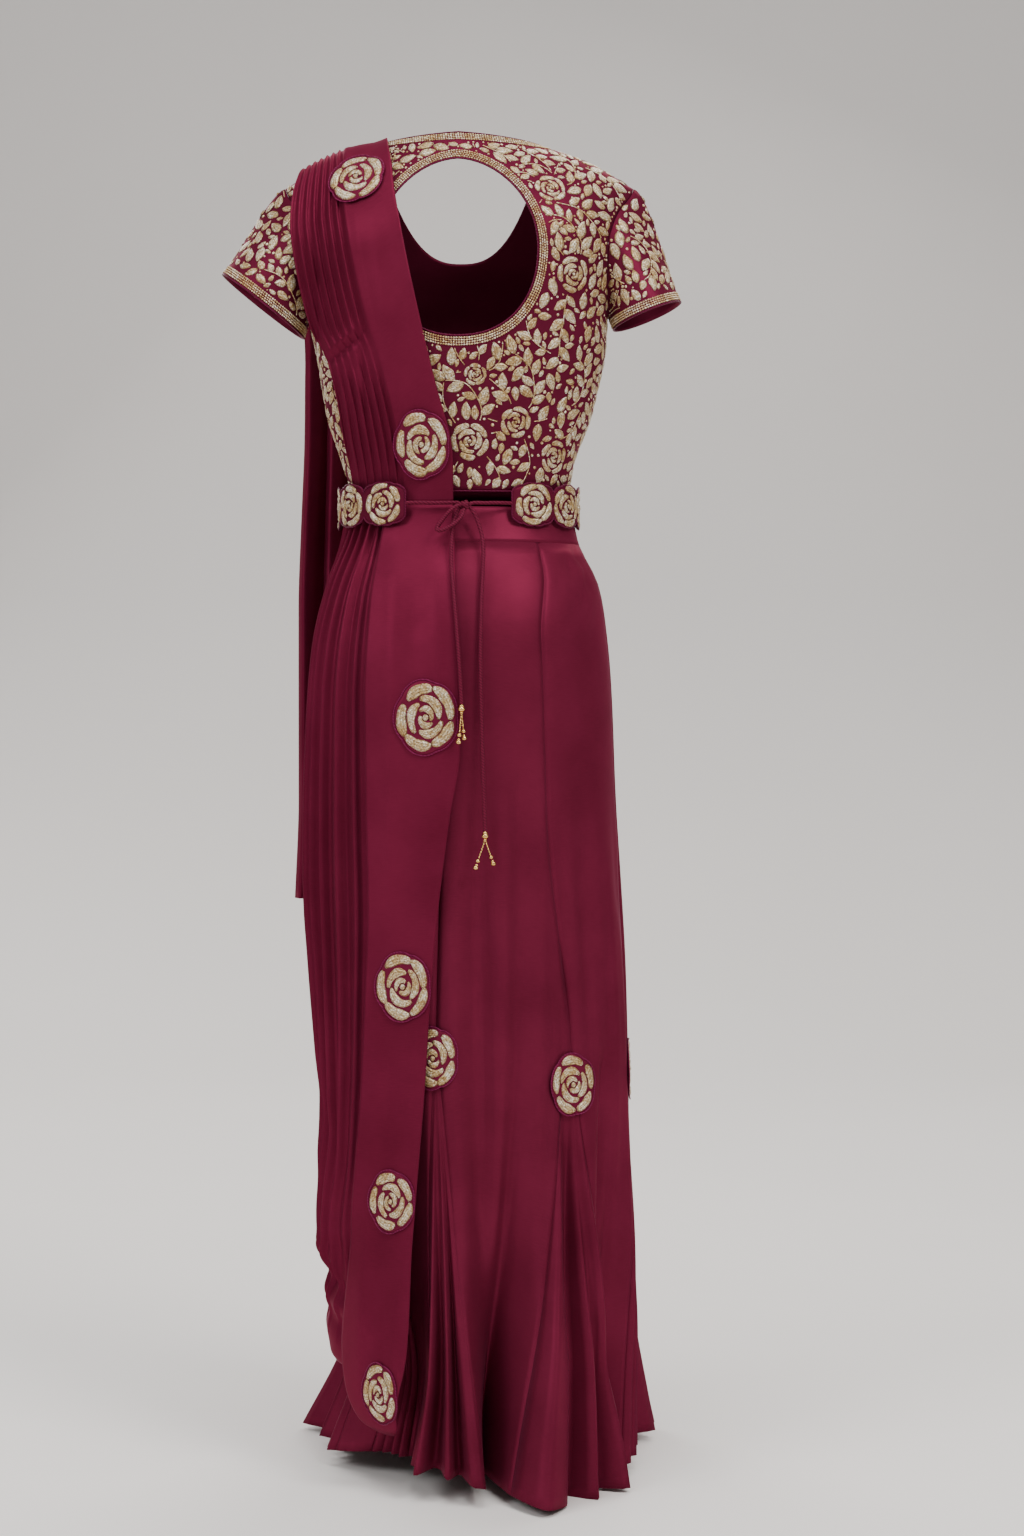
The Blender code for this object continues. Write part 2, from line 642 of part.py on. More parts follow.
def build_blouse_back():
    """The back is a ring of cloth between its outline and the opening."""
    hem_columns = 5

    def half_outline(side):
        half = [(90.0 * side * i / hem_columns, BLOUSE_HEM) for i in range(hem_columns)]
        for height in side_heights():
            half.append((edge_angle(height, side) * side, height))
        for x, height in reversed(top_edge(front=False)[:-1]):
            half.append((torso_angle(x * side, height), height))
        return half

    outline = half_outline(1) + list(reversed(half_outline(-1)[1:-1]))
    rings = (0.0, None, 0.3, 0.62, 1.0)
    grid = [[] for _ in rings]
    for angle, height in outline:
        edge = torso_point(angle, height, False)
        turn = math.atan2(edge.x, BACK_OPENING["height"] - height)
        x, hole_height = opening_point(turn)
        hole_angle = torso_angle(x, hole_height)
        start = torso_point(hole_angle, hole_height, False)
        for ring, share in zip(grid, rings):
            if share is None:
                share = min(BAND_WIDTH / (edge - start).length, 0.25)
            at_height = mix(hole_height, height, share)
            ring.append(torso_point(mix(hole_angle, angle, share), at_height, False))
    normals = normals_of(grid, closed=True)
    for i, (angle, height) in enumerate(outline):
        on_side = abs(angle) == 90.0 and height < ARMPIT + CLOSE
        on_shoulder = abs(grid[-1][i].y) < 0.001 and height > SHOULDER_TIP[1] - CLOSE
        if on_side or on_shoulder:
            normals[-1][i] = ring_normal_level(normals[-1][i])
    wall_object("blouse_back", grid, inside(grid, normals), "embroidered", closed=True)
    return outline, grid[-1], normals[-1]


SLEEVE_RINGS = (0.0, 0.12, 0.30, 0.52, 0.76, 1.0)
SLEEVE_GAP = 0.0009


def build_sleeve(name, front, back):
    """A short flared tube from the armhole to its hem, starting at the armpit and going round by the back."""
    spec = SLEEVES[name]
    side = spec["side"]
    front_grid, front_normals = front
    outline, back_points, back_normals = back
    column = -1 if side > 0 else 0
    loop = []
    for i, (angle, height) in enumerate(outline):
        on_armhole = ARMPIT + CLOSE < height < SHOULDER_TIP[1] + CLOSE
        if on_armhole and abs(angle - side * edge_angle(height, side)) < CLOSE:
            loop.append((back_points[i], back_normals[i]))
    loop.sort(key=lambda item: item[0].z)
    front_loop = [
        (front_grid[row][column], front_normals[row][column])
        for row in range(LOWER_ROWS + 1, LOWER_ROWS + UPPER_ROWS)
    ]
    armpit = (front_grid[LOWER_ROWS][column].copy(), front_normals[LOWER_ROWS][column])
    armpit[0].y = 0.0
    tip_point, tip_normal = loop[-1]
    tip = (Vector((tip_point.x, 0.0, tip_point.z)), ring_normal_level(tip_normal))
    loop = [armpit] + loop[:-1] + [tip] + list(reversed(front_loop))
    count = len(loop)
    inner = world(side * spec["inner"][0], 0.0, spec["inner"][1])
    outer = world(side * spec["outer"][0], 0.0, spec["outer"][1])
    centre, reach = (inner + outer) / 2, (outer - inner) / 2
    grid = [[] for _ in SLEEVE_RINGS]
    for i, (point, normal) in enumerate(loop):
        before, after = loop[i - 1][0], loop[(i + 1) % count][0]
        away = normal.cross(after - before).normalized()
        if away.x * side < 0:
            away.negate()
        if i == 0:
            away = Vector((side, 0.0, 0.3)).normalized()
        start = point + away * SLEEVE_GAP
        turn = 2 * math.pi * i / count
        end = centre - reach * math.cos(turn) + Vector((0.0, spec["half_depth"] * math.sin(turn), 0.0))
        lead = (end - start).length
        for ring, t in zip(grid, SLEEVE_RINGS):
            t2, t3 = t * t, t * t * t
            leave = Vector((away.x, away.y * 0.3, away.z * 0.2)) * lead * 0.35
            arrive = (end - start) * 0.9
            ring.append(
                start * (2 * t3 - 3 * t2 + 1)
                + end * (3 * t2 - 2 * t3)
                + leave * (t3 - 2 * t2 + t)
                + arrive * (t3 - t2)
            )
    normals = normals_of(grid, closed=True)
    if normals[-1][count // 2].z < 0:
        normals = [[-n for n in row] for row in normals]
    wall_object(name, grid, inside(grid, normals), "embroidered", closed=True)


# Pallu
def over_shoulder(x, height, front, held_to, slant, lift):
    """A point above the blouse's back or front that bridges the armhole instead of following it in."""
    ridge = shoulder_line(x)
    away = ease((ridge - height) / BRIDGE_FADE)
    x_held = mix(x, min(x, held_to), away)
    held = torso_point(torso_angle(x_held, height), height, front)
    facing = -1 if front else 1
    at = Vector((x, held.y - facing * slant * (x - x_held), held.z))
    below = min(max((ridge - height) / SHOULDER_ROUNDING, 0.0), 1.0)
    level = math.sqrt(1 - (1 - below) ** 2)
    lean = SHOULDER_LEAN * (x / SHOULDER_LEAN_REACH) ** 2
    out = Vector((lean, facing * level, 1.0 - level)).normalized()
    return at + out * lift


def turned(normals, along, sign):
    """Normals turned so that one of their parts has the given sign."""
    return [[-n if n[along] * sign < 0 else n for n in row] for row in normals]


def build_pallu_upper():
    pleats, per_pleat, flat_columns = 7, 3, 5
    pleat_columns = pleats * per_pleat
    pleated_share = 0.52
    levels = (1.0, -0.2, -1.0)
    rows = [dict(zip(UPPER_COLUMNS, row)) for row in PALLU_UPPER]
    grid = []
    for row in rows:
        line = []
        for i in range(flat_columns + pleat_columns + 1):
            if i <= flat_columns:
                share = (1 - pleated_share) * i / flat_columns
                level = 0.0
            else:
                k = i - flat_columns
                share = 1 - pleated_share + pleated_share * k / pleat_columns
                level = levels[(k - 1) % per_pleat]
            x = mix(row["inner"], row["outer"], share)
            height = mix(row["inner_height"], row["outer_height"], share)
            if row is rows[0]:
                height = shoulder_line(x)
            lift = row["lift"] + UPPER_PLEAT * level * row["pinch"]
            line.append(over_shoulder(x, height, False, *UPPER_BRIDGE, lift))
        grid.append(line)
    for i, p in enumerate(grid[0]):
        grid[0][i] = Vector((p.x, SEAM_GAP / 2, p.z))
    normals = turned(normals_of(grid), 1, 1.0)
    normals[0] = [ring_normal_level(n) if n.z > 0 else ring_normal_level(-n) for n in normals[0]]
    wall_object("pallu_upper_back", grid, inside(grid, normals), "crepe")
    return grid


def lower_angle(x, height):
    side = read(SKIRT_SECTIONS, SKIRT_COLUMNS, "left" if x > 0 else "right", height)
    return math.degrees(math.asin(max(min(x / side, 1.0), -1.0)))


def lower_point(angle, height, column, level):
    stand_off = read(PALLU_LOWER, LOWER_COLUMNS, column, height)
    pleat = read(PALLU_LOWER, LOWER_COLUMNS, "pleat", height)
    return skirt_base(angle, height) + base_normal(angle, height) * (stand_off + pleat * level)


def fold_angle(height):
    return lower_angle(read(PALLU_LOWER, LOWER_COLUMNS, "fold", height), height)


def build_pallu_border():
    """The flat inner border. Its fold stands proud of the pleats that run out from under it."""
    spans = 6
    fractions = (0.0, 0.025, 0.06, 0.12, 0.19, 0.27, 0.35, 0.43, 0.51, 0.59, 0.67, 0.75, 0.82, 0.88, 0.925, 0.96)
    grid = []
    for fraction in fractions + (0.985, 1.0):
        line = []
        for i in range(spans + 1):
            across = i / spans
            round_hem = BORDER_ROUND * (2 * across - 1) ** 4
            height = mix(PALLU_TOP, BORDER_HEM + round_hem, fraction)
            inner = lower_angle(read(PALLU_LOWER, LOWER_COLUMNS, "inner", height), height)
            angle = mix(inner, fold_angle(height), across)
            line.append(lower_point(angle, height, "border_off", across**2))
        grid.append(line)
    normals = outward(grid, normals_of(grid))
    wall_object("pallu_border", grid, inside(grid, normals), "crepe")
    return grid


def build_pallu_pleats():
    pleats, per_pleat = 6, 3
    spans = pleats * per_pleat + 1
    levels = (0.9, 0.2, -1.0)
    under = (-1.2, -1.1)
    rows = 14
    grid = []
    for row in range(rows + 1):
        line = []
        for i in range(spans + 1):
            height = mix(PALLU_TOP, PLEATS_HEM, row / rows)
            outer = read(PALLU_LOWER, LOWER_COLUMNS, "outer_angle", height)
            across = i / spans
            angle = mix(fold_angle(height) - FOLD_UNDER, outer, across)
            level = levels[(i - len(under)) % per_pleat] if i >= len(under) else under[i]
            near = lower_point(angle, height, "border_off", level)
            free = lower_point(angle, height, "pleats_off", level)
            line.append(near.lerp(free, ease(across / PLEATS_FREE_FROM)))
        grid.append(line)
    normals = outward(grid, normals_of(grid))
    normals[-1] = [level_normal(n) for n in normals[-1]]
    wall_object("pallu_pleats", grid, inside(grid, normals), "crepe")


def outward(grid, normals):
    """Normals turned to point away from the body's axis."""
    middle = len(grid) // 2, len(grid[0]) // 2
    point, normal = grid[middle[0]][middle[1]], normals[middle[0]][middle[1]]
    if point.x * normal.x + point.y * normal.y < 0:
        return [[-n for n in row] for row in normals]
    return normals


def build_cascade():
    """Two swags run down from the side to under the border's fold."""
    spans, rows = 9, 10
    low, high = CASCADE[0][0], CASCADE[-1][0]
    grid = []
    for row in range(rows + 1):
        down = row / rows
        line = []
        for i in range(spans + 1):
            across = i / spans
            level_height = mix(high, low, down)
            height = level_height - CASCADE_SAG * (1 - across) * math.sin(math.pi * down)
            angle = mix(fold_angle(height) - FOLD_UNDER, read(CASCADE, CASCADE_COLUMNS, "end", height), across)
            swag = read(CASCADE, CASCADE_COLUMNS, "stand_off", level_height)
            stand_off = mix(CASCADE_START_OFF, swag, ease(across / CASCADE_FULL_FROM))
            line.append(skirt_base(angle, height) + base_normal(angle, height) * stand_off)
        grid.append(line)
    normals = outward(grid, normals_of(grid))
    normals[0] = [level_normal(n) for n in normals[0]]
    wall_object("pallu_side_cascade", grid, inside(grid, normals), "crepe")


def front_fall_point(x, height, level):
    """The short end hangs off the bust: it follows the blouse above, and falls straight below."""
    fold = read(FRONT_FALL, FALL_COLUMNS, "fold", height) * level
    depth = read(FRONT_FALL, FALL_COLUMNS, "depth", height)
    side = max(abs(x) - 0.06, 0.0)
    hanging = world(x, FALL_SIDE_CURVE * side * side - depth - fold, height)
    if height < FALL_LEAVES:
        return hanging
    on_body = over_shoulder(x, height, True, *FALL_BRIDGE, FALL_LIFT + FALL_FOLD_ON_BODY * fold)
    return hanging.lerp(on_body, ease((height - FALL_LEAVES) / FALL_LEAVES_OVER))


def build_front_fall():
    folds, per_fold = 5, 3
    columns = folds * per_fold
    levels = (1.0, 0.0, -1.0)
    fractions = (0.0, 0.012, 0.04, 0.08, 0.13, 0.18, 0.23, 0.29, 0.37, 0.48, 0.61, 0.74, 0.87, 1.0)
    bottom = FRONT_FALL[0][0]
    top_inner, top_outer = PALLU_UPPER[0][3], PALLU_UPPER[0][1]
    grid = []
    for fraction in fractions:
        line = []
        for i in range(columns + 1):
            share = i / columns
            top_height = shoulder_line(mix(top_inner, top_outer, share))
            height = mix(top_height, bottom, fraction)
            spread = ease(fraction / FALL_SPREADS)
            inner = mix(top_inner, read(FRONT_FALL, FALL_COLUMNS, "inner", height), spread)
            outer = mix(top_outer, read(FRONT_FALL, FALL_COLUMNS, "outer", height), spread)
            level = 0.3 if i == 0 else levels[(i - 1) % per_fold]
            line.append(front_fall_point(mix(inner, outer, share), height, level * spread))
        grid.append(line)
    for i, p in enumerate(grid[0]):
        grid[0][i] = Vector((p.x, -SEAM_GAP / 2, p.z))
    normals = turned(normals_of(grid), 1, -1.0)
    normals[0] = [ring_normal_level(n) if n.z > 0 else ring_normal_level(-n) for n in normals[0]]
    wall_object("pallu_front_fall", grid, inside(grid, normals), "crepe")


# Belt
def belt_point(angle, height):
    """The belt lies over the pallu on the left and against the waist elsewhere."""
    on_pallu = ease((BELT_ON_PALLU_UNTIL - angle) / BELT_RISES_OVER)
    stand_off = mix(BELT_OFF_WAIST, BELT_OFF_PALLU, on_pallu)
    at = skirt_base(angle, BELT_LEVEL) + base_normal(angle, BELT_LEVEL) * stand_off
    at.z = height - SHOULDER_HEIGHT
    return at


def build_belt():
    spans = BELT_ROSES * 4
    grid = []
    for row in range(3):
        line = []
        for i in range(spans + 1):
            angle = mix(BELT_START, BELT_END, i / spans)
            scallop = abs(math.sin(math.pi * BELT_ROSES * i / spans)) ** SCALLOP_SQUARENESS
            edge = BELT_SCALLOP * (1 - scallop)
            height = mix(BELT_BOTTOM + edge, BELT_TOP - edge, row / 2)
            line.append(belt_point(angle, height))
        grid.append(line)
    normals = outward(grid, normals_of(grid))
    wall_object("belt", grid, inside(grid, normals, BELT_THICKNESS), "gold")


# Appliques
def panel_tree(grid):
    """The outer face of a panel, for laying things on it."""
    count = len(grid[0])
    points = [p for row in grid for p in row]
    quads = []
    for r in range(len(grid) - 1):
        for c in range(count - 1):
            first = r * count + c
            quads.append((first, first + 1, first + count + 1))
            quads.append((first, first + count + 1, first + count))
    return BVHTree.FromPolygons(points, quads)


def applique(name, tree, start, facing, half_width, half_height):
    """A round patch laid on a panel, with petals raised in its outer points over a plain inside."""
    middle, normal = tree.ray_cast(start, facing)[:2]
    if normal.dot(facing) > 0:
        normal.negate()
    across = Vector((0.0, 0.0, 1.0)).cross(normal).normalized()
    along = normal.cross(across)
    spans = ROSE_COLUMNS_AROUND
    rings = ((0.55, 1.0, 0.5), (1.0, 0.6, 0.35))
    reach = 0.0060
    feelers = ((0.0, 0.0), (reach, 0.0), (-reach, 0.0), (0.0, reach), (0.0, -reach))
    feelers += ((reach / 2, 0.0), (-reach / 2, 0.0))
    outer, inner = [], []
    for ring, (radius, crest, groove) in enumerate(rings):
        ring_out, ring_in = [], []
        for i in range(spans):
            turn = 2 * math.pi * i / spans
            in_groove = i % 4 == 2 * (1 - ring)
            size = radius * (0.93 if in_groove and ring == len(rings) - 1 else 1.0)
            u = half_width * size * math.cos(turn)
            v = half_height * size * math.sin(turn)
            flat = middle + across * u + along * v
            rises = []
            for du, dv in feelers:
                aim = flat + across * du + along * dv + normal * 0.05
                hit = tree.ray_cast(aim, -normal)[0]
                if hit is not None:
                    rises.append((hit - middle).dot(normal))
            if not rises:
                rises.append((tree.find_nearest(flat)[0] - middle).dot(normal))
            hit = flat + normal * max(rises)
            rise = ROSE_THICKNESS * (groove if in_groove else crest)
            ring_in.append(hit + normal * ROSE_GAP)
            ring_out.append(hit + normal * (ROSE_GAP + rise))
        outer.append(ring_out)
        inner.append(ring_in)
    mesh = bpy.data.meshes.new(name)
    bm = bmesh.new()
    top = [[bm.verts.new(p) for p in ring] for ring in outer]
    bottom = [[bm.verts.new(p) for p in ring] for ring in inner]
    centre = sum(inner[0], Vector()) / spans
    centre += normal * max((middle - centre).dot(normal) + ROSE_GAP, 0.0)
    top_middle = bm.verts.new(centre + normal * ROSE_THICKNESS)
    bottom_middle = bm.verts.new(centre)
    for i in range(spans):
        k = (i + 1) % spans
        bm.faces.new((top_middle, top[0][i], top[0][k]))
        bm.faces.new((bottom_middle, bottom[0][k], bottom[0][i]))
        for face in (top, bottom):
            bm.faces.new((face[0][i], face[1][i], face[1][k]))
            bm.faces.new((face[0][i], face[1][k], face[0][k]))
        bm.faces.new((top[1][i], bottom[1][i], bottom[1][k], top[1][k]))
    bmesh.ops.recalc_face_normals(bm, faces=bm.faces)
    bm.to_mesh(mesh)
    bm.free()
    return finish(bpy.data.objects.new(name, mesh), "gold")


def build_pallu_roses(upper, border):
    trees = {"upper": panel_tree(upper), "border": panel_tree(border)}
    for row in PALLU_ROSES:
        rose = dict(zip(ROSE_COLUMNS, row))
        tree = trees["upper" if rose["height"] > PALLU_TOP else "border"]
        start = world(rose["across"], 0.5, rose["height"])
        applique(rose["name"], tree, start, Vector((0.0, -1.0, 0.0)), rose["half_width"], rose["half_height"])


def build_skirt_roses(skirt):
    tree = panel_tree(skirt)
    for name, angle, height in SKIRT_ROSES:
        angle = seam_shift(angle, height)
        out = base_normal(angle, height)
        start = skirt_base(angle, height) + out * 0.2
        applique(name, tree, start, -out, *SKIRT_ROSE_SIZE)


# Cords, bow and tassels. Each route's points are (across, out from the middle, height). The cords start at the
# belt's back ends and pass the knot on both sides
KNOT = (-0.0076, 0.0930, 1.0210)
KNOT_RADIUS = 0.0052
LEFT_CORD = (
    (0.0400, 0.0890, 1.0238),
    (0.0250, 0.0898, 1.0235),
    (0.0100, 0.0905, 1.0236),
    (-0.0030, 0.0920, 1.0225),
    (0.0015, 0.0945, 1.0120),
    (0.0055, 0.1005, 0.9960),
    (0.0062, 0.1130, 0.9600),
    (0.0030, 0.1270, 0.9220),
    (-0.0015, 0.1375, 0.8660),
    (-0.0046, 0.1400, 0.8150),
)
RIGHT_CORD = (
    (-0.0430, 0.0840, 1.0240),
    (-0.0300, 0.0885, 1.0235),
    (-0.0119, 0.0924, 1.0220),
    (-0.0190, 0.0935, 1.0080),
    (-0.0262, 0.0995, 0.9790),
    (-0.0246, 0.1180, 0.9220),
    (-0.0236, 0.1285, 0.8660),
    (-0.0245, 0.1315, 0.8100),
    (-0.0260, 0.1315, 0.7570),
    (-0.0285, 0.1305, 0.6850),
)
BOW_LOOP = (
    (0.0012, 0.0995, 1.0198),
    (0.0085, 0.1015, 1.0140),
    (0.0150, 0.1020, 1.0060),
    (0.0215, 0.1035, 0.9965),
    (0.0170, 0.1055, 0.9940),
    (0.0050, 0.1050, 1.0000),
    (-0.0040, 0.1010, 1.0090),
)
BOW_LEAVES = (0.82, 0.50, -0.05)
BOW_RETURNS = (0.25, 0.55, -0.80)


def belt_end(angle, inward):
    """The middle of the belt's end face, moved out by the seam's gap."""
    outer = belt_point(angle, CORD_LEVEL)
    beside = belt_point(angle + inward, CORD_LEVEL)
    back = (outer - beside).normalized()
    across = Vector((-back.y, back.x, 0.0))
    if across.y > 0:
        across.negate()
    return outer + across * (BELT_THICKNESS / 2) + back * SEAM_GAP


def knot_face(direction):
    return world(*KNOT) + Vector(direction).normalized() * (KNOT_RADIUS + SEAM_GAP)


def smooth_route(points, spacing):
    """Evenly spaced points of a smooth curve through a route's own points."""
    padded = [points[0] * 2 - points[1]] + points + [points[-1] * 2 - points[-2]]
    fine = []
    for a, b, c, d in zip(padded, padded[1:], padded[2:], padded[3:]):
        for i in range(ROUTE_STEPS):
            t = i / ROUTE_STEPS
            fine.append(
                0.5 * (2 * b + (c - a) * t + (2 * a - 5 * b + 4 * c - d) * t**2 + (3 * b - a - 3 * c + d) * t**3)
            )
    fine.append(points[-1])
    length = sum((q - p).length for p, q in zip(fine, fine[1:]))
    count = max(int(length / spacing), 4)
    result, walked, k = [], 0.0, 0
    for i in range(count + 1):
        target = length * i / count
        while k < len(fine) - 2 and walked + (fine[k + 1] - fine[k]).length < target:
            walked += (fine[k + 1] - fine[k]).length
            k += 1
        step = (fine[k + 1] - fine[k]).length
        result.append(fine[k].lerp(fine[k + 1], min((target - walked) / step, 1.0)))
    return result


def cord_object(name, route, start=None, end=None):
    points = [world(*point) for point in route]
    points = ([start] if start else []) + points + ([end] if end else [])
    points = smooth_route(points, CORD_DIAMETER * ROUTE_SPACING)
    curve = bpy.data.curves.new(name, "CURVE")
    curve.dimensions = "3D"
    curve.bevel_depth = CORD_DIAMETER / 2
    curve.bevel_resolution = 2
    curve.use_fill_caps = True
    spline = curve.splines.new("POLY")
    spline.points.add(len(points) - 1)
    for place, point in zip(spline.points, points):
        place.co = (point.x, point.y, point.z, 1.0)
    return finish(bpy.data.objects.new(name, curve), "cord")


def tassel_object(name, at):
    """A gold cap, a slim tube and a cluster of beads, turned as one piece."""
    x, y, height = at
    profile = (
        (0.0, 0.0),
        (0.0024, 0.0),
        (0.0036, -0.0020),
        (0.0036, -0.0045),
        (0.0020, -0.0070),
        (0.0022, -0.0150),
        (0.0034, -0.0280),
        (0.0026, -0.0310),
        (0.0044, -0.0350),
        (0.0044, -0.0385),
        (0.0026, -0.0410),
        (0.0036, -0.0440),
        (0.0020, -0.0470),
        (0.0, -0.0470),
    )
    sides = 8
    mesh = bpy.data.meshes.new(name)
    bm = bmesh.new()
    verts = [bm.verts.new((radius, 0.0, drop)) for radius, drop in profile]
    for a, b in zip(verts, verts[1:]):
        bm.edges.new((a, b))
    bmesh.ops.spin(
        bm,
        geom=bm.verts[:] + bm.edges[:],
        cent=(0.0, 0.0, 0.0),
        axis=(0.0, 0.0, 1.0),
        angle=2 * math.pi,
        steps=sides,
        use_merge=True,
    )
    bmesh.ops.remove_doubles(bm, verts=bm.verts, dist=0.00001)
    bmesh.ops.recalc_face_normals(bm, faces=bm.faces)
    bm.to_mesh(mesh)
    bm.free()
    obj = finish(bpy.data.objects.new(name, mesh), "tassel")
    obj.location = world(x, y, height - SEAM_GAP)
    return obj


def knot_object(name):
    mesh = bpy.data.meshes.new(name)
    bm = bmesh.new()
    bmesh.ops.create_icosphere(bm, subdivisions=2, radius=KNOT_RADIUS)
    bm.to_mesh(mesh)
    bm.free()
    obj = finish(bpy.data.objects.new(name, mesh), "cord")
    obj.location = world(*KNOT)
    return obj


def build_ties():
    cord_object("tie_cord_left", LEFT_CORD, start=belt_end(BELT_START, 1.0))
    cord_object("tie_cord_right", RIGHT_CORD, start=belt_end(BELT_END, -1.0))
    cord_object("tie_bow", BOW_LOOP, start=knot_face(BOW_LEAVES), end=knot_face(BOW_RETURNS))
    knot_object("tie_knot")
    tassel_object("tassel_left", LEFT_CORD[-1])
    tassel_object("tassel_right", RIGHT_CORD[-1])


for old in list(bpy.data.objects):
    bpy.data.objects.remove(old, do_unlink=True)
GARMENT = bpy.data.collections.new("sari_gown")
bpy.context.scene.collection.children.link(GARMENT)

skirt_grid = build_skirt()
build_waistband()
blouse_front = build_blouse_front()
blouse_back = build_blouse_back()
for sleeve_name in SLEEVES:
    build_sleeve(sleeve_name, blouse_front, blouse_back)
upper_grid = build_pallu_upper()
border_grid = build_pallu_border()
build_pallu_pleats()
build_cascade()
build_front_fall()
build_belt()
build_pallu_roses(upper_grid, border_grid)
build_skirt_roses(skirt_grid)
build_ties()
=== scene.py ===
import math
import random

import bmesh
import bpy
import numpy as np
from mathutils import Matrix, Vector
from mathutils.bvhtree import BVHTree

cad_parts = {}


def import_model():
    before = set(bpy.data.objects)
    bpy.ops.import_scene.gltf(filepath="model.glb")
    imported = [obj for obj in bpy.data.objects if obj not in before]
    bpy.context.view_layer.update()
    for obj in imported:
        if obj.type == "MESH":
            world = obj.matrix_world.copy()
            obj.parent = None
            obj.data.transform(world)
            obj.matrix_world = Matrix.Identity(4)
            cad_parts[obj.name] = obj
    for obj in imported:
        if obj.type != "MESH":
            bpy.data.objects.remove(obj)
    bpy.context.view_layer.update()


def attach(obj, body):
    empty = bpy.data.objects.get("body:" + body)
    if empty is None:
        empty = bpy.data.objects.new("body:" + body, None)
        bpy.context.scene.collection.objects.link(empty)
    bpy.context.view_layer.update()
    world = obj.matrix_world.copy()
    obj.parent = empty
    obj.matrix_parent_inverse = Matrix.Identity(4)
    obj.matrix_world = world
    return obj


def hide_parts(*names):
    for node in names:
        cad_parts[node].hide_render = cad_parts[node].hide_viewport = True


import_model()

# Room. A pale floor sweeps up into a plain wall. Large soft lights stand on both sides and above, and the
# camera looks level at the back of the garment from three metres away.
SHOULDER_HEIGHT = 1.380
CAMERA_DISTANCE = 3.0
CAMERA_SIDE = -0.056
CAMERA_HEIGHT = 0.820
CAMERA_TILT = 88.6
CAMERA_LENS = 65.74
CAMERA_SENSOR = 36.0
SWEEP_START = -3.00
SWEEP_RADIUS = 1.60
ROOM_HALF_WIDTH = 6.0
ROOM_FRONT = 7.0
ROOM_TOP = 4.5
SWEEP_STEPS = 16
WALL_COLOUR = (0.720, 0.690, 0.670, 1.0)
FLOOR_COLOUR = (0.920, 0.880, 0.848, 1.0)
FLOOR_BLENDS_OVER = 1.10
PAINT_SHADE = (0.97, 0.97, 0.97, 1.0)
WHITE = (1.0, 1.0, 1.0, 1.0)
# Each light: name, place, side length, power in watts and colour. All point at the middle of the garment
LIGHTS_AIM = (0.0, 0.0, -0.65)
LIGHTS = (
    ("key", (-2.2, 2.4, 2.2), 1.3, 98.0, (1.0, 0.985, 0.965)),
    ("fill", (2.5, 2.3, 1.4), 1.6, 60.0, (0.975, 0.985, 1.0)),
    ("overhead", (0.0, 1.1, 2.7), 2.2, 76.0, (1.0, 1.0, 1.0)),
    ("wall", (-1.4, -2.6, 2.5), 2.4, 86.0, (1.0, 0.99, 0.98)),
    ("far_side", (2.2, -3.2, 1.3), 2.2, 60.0, (1.0, 0.99, 0.98)),
)
WORLD_COLOUR = (0.86, 0.85, 0.84, 1.0)
WORLD_STRENGTH = 0.34


def plug(tree, node, values=(), **inputs):
    """Sets a node's inputs, by place or by name, to plain values or to other nodes' sockets."""
    named = [(key.replace("_", " "), value) for key, value in inputs.items()]
    for key, value in list(enumerate(values)) + named:
        if isinstance(value, bpy.types.NodeSocket):
            tree.links.new(value, node.inputs[key])
        else:
            node.inputs[key].default_value = value
    return node


def add_node(tree, kind, settings=None, values=(), **inputs):
    """A node with its settings and inputs."""
    made = tree.nodes.new(kind)
    for key, value in (settings or {}).items():
        setattr(made, key, value)
    return plug(tree, made, values, **inputs)


def new_material(name, **inputs):
    """A material, its node tree, its shader with plain values on its own sockets, and its coordinates."""
    surface = bpy.data.materials.new(name)
    surface.use_nodes = True
    tree = surface.node_tree
    shader = plug(tree, tree.nodes["Principled BSDF"], **inputs)
    return surface, tree, shader, add_node(tree, "ShaderNodeTexCoord").outputs


def noise(tree, where, scale, detail):
    return add_node(tree, "ShaderNodeTexNoise", Vector=where, Scale=scale, Detail=detail).outputs["Fac"]


def blend(tree, kind, factor, first, second):
    made = add_node(tree, "ShaderNodeMixRGB", {"blend_type": kind}, Fac=factor, Color1=first, Color2=second)
    return made.outputs["Color"]


def ramp(tree, factor, stops):
    """A colour ramp over a factor, from (position, colour) stops."""
    made = add_node(tree, "ShaderNodeValToRGB", Fac=factor)
    band = made.color_ramp
    while len(band.elements) < len(stops):
        band.elements.new(0.5)
    for element, (position, colour) in zip(band.elements, stops):
        element.position = position
        element.color = colour
    return made.outputs["Color"]


def linked(name, data, *surfaces):
    """A new object of the scene, made of some data with its materials."""
    for surface in surfaces:
        data.materials.append(surface)
    made = bpy.data.objects.new(name, data)
    bpy.context.collection.objects.link(made)
    return made


def new_piece(name, vertices, faces, surface, flat=None):
    """A smooth mesh object. Where flat is given, it is each point's place on the flat cloth."""
    mesh = bpy.data.meshes.new(name)
    mesh.from_pydata(vertices, [], faces)
    if flat is not None:
        corners = np.empty(len(mesh.loops), dtype=np.int64)
        mesh.loops.foreach_get("vertex_index", corners)
        mesh.uv_layers.new(name="flat").data.foreach_set("uv", np.array(flat)[corners].ravel())
    mesh.shade_smooth()
    return linked(name, mesh, surface)


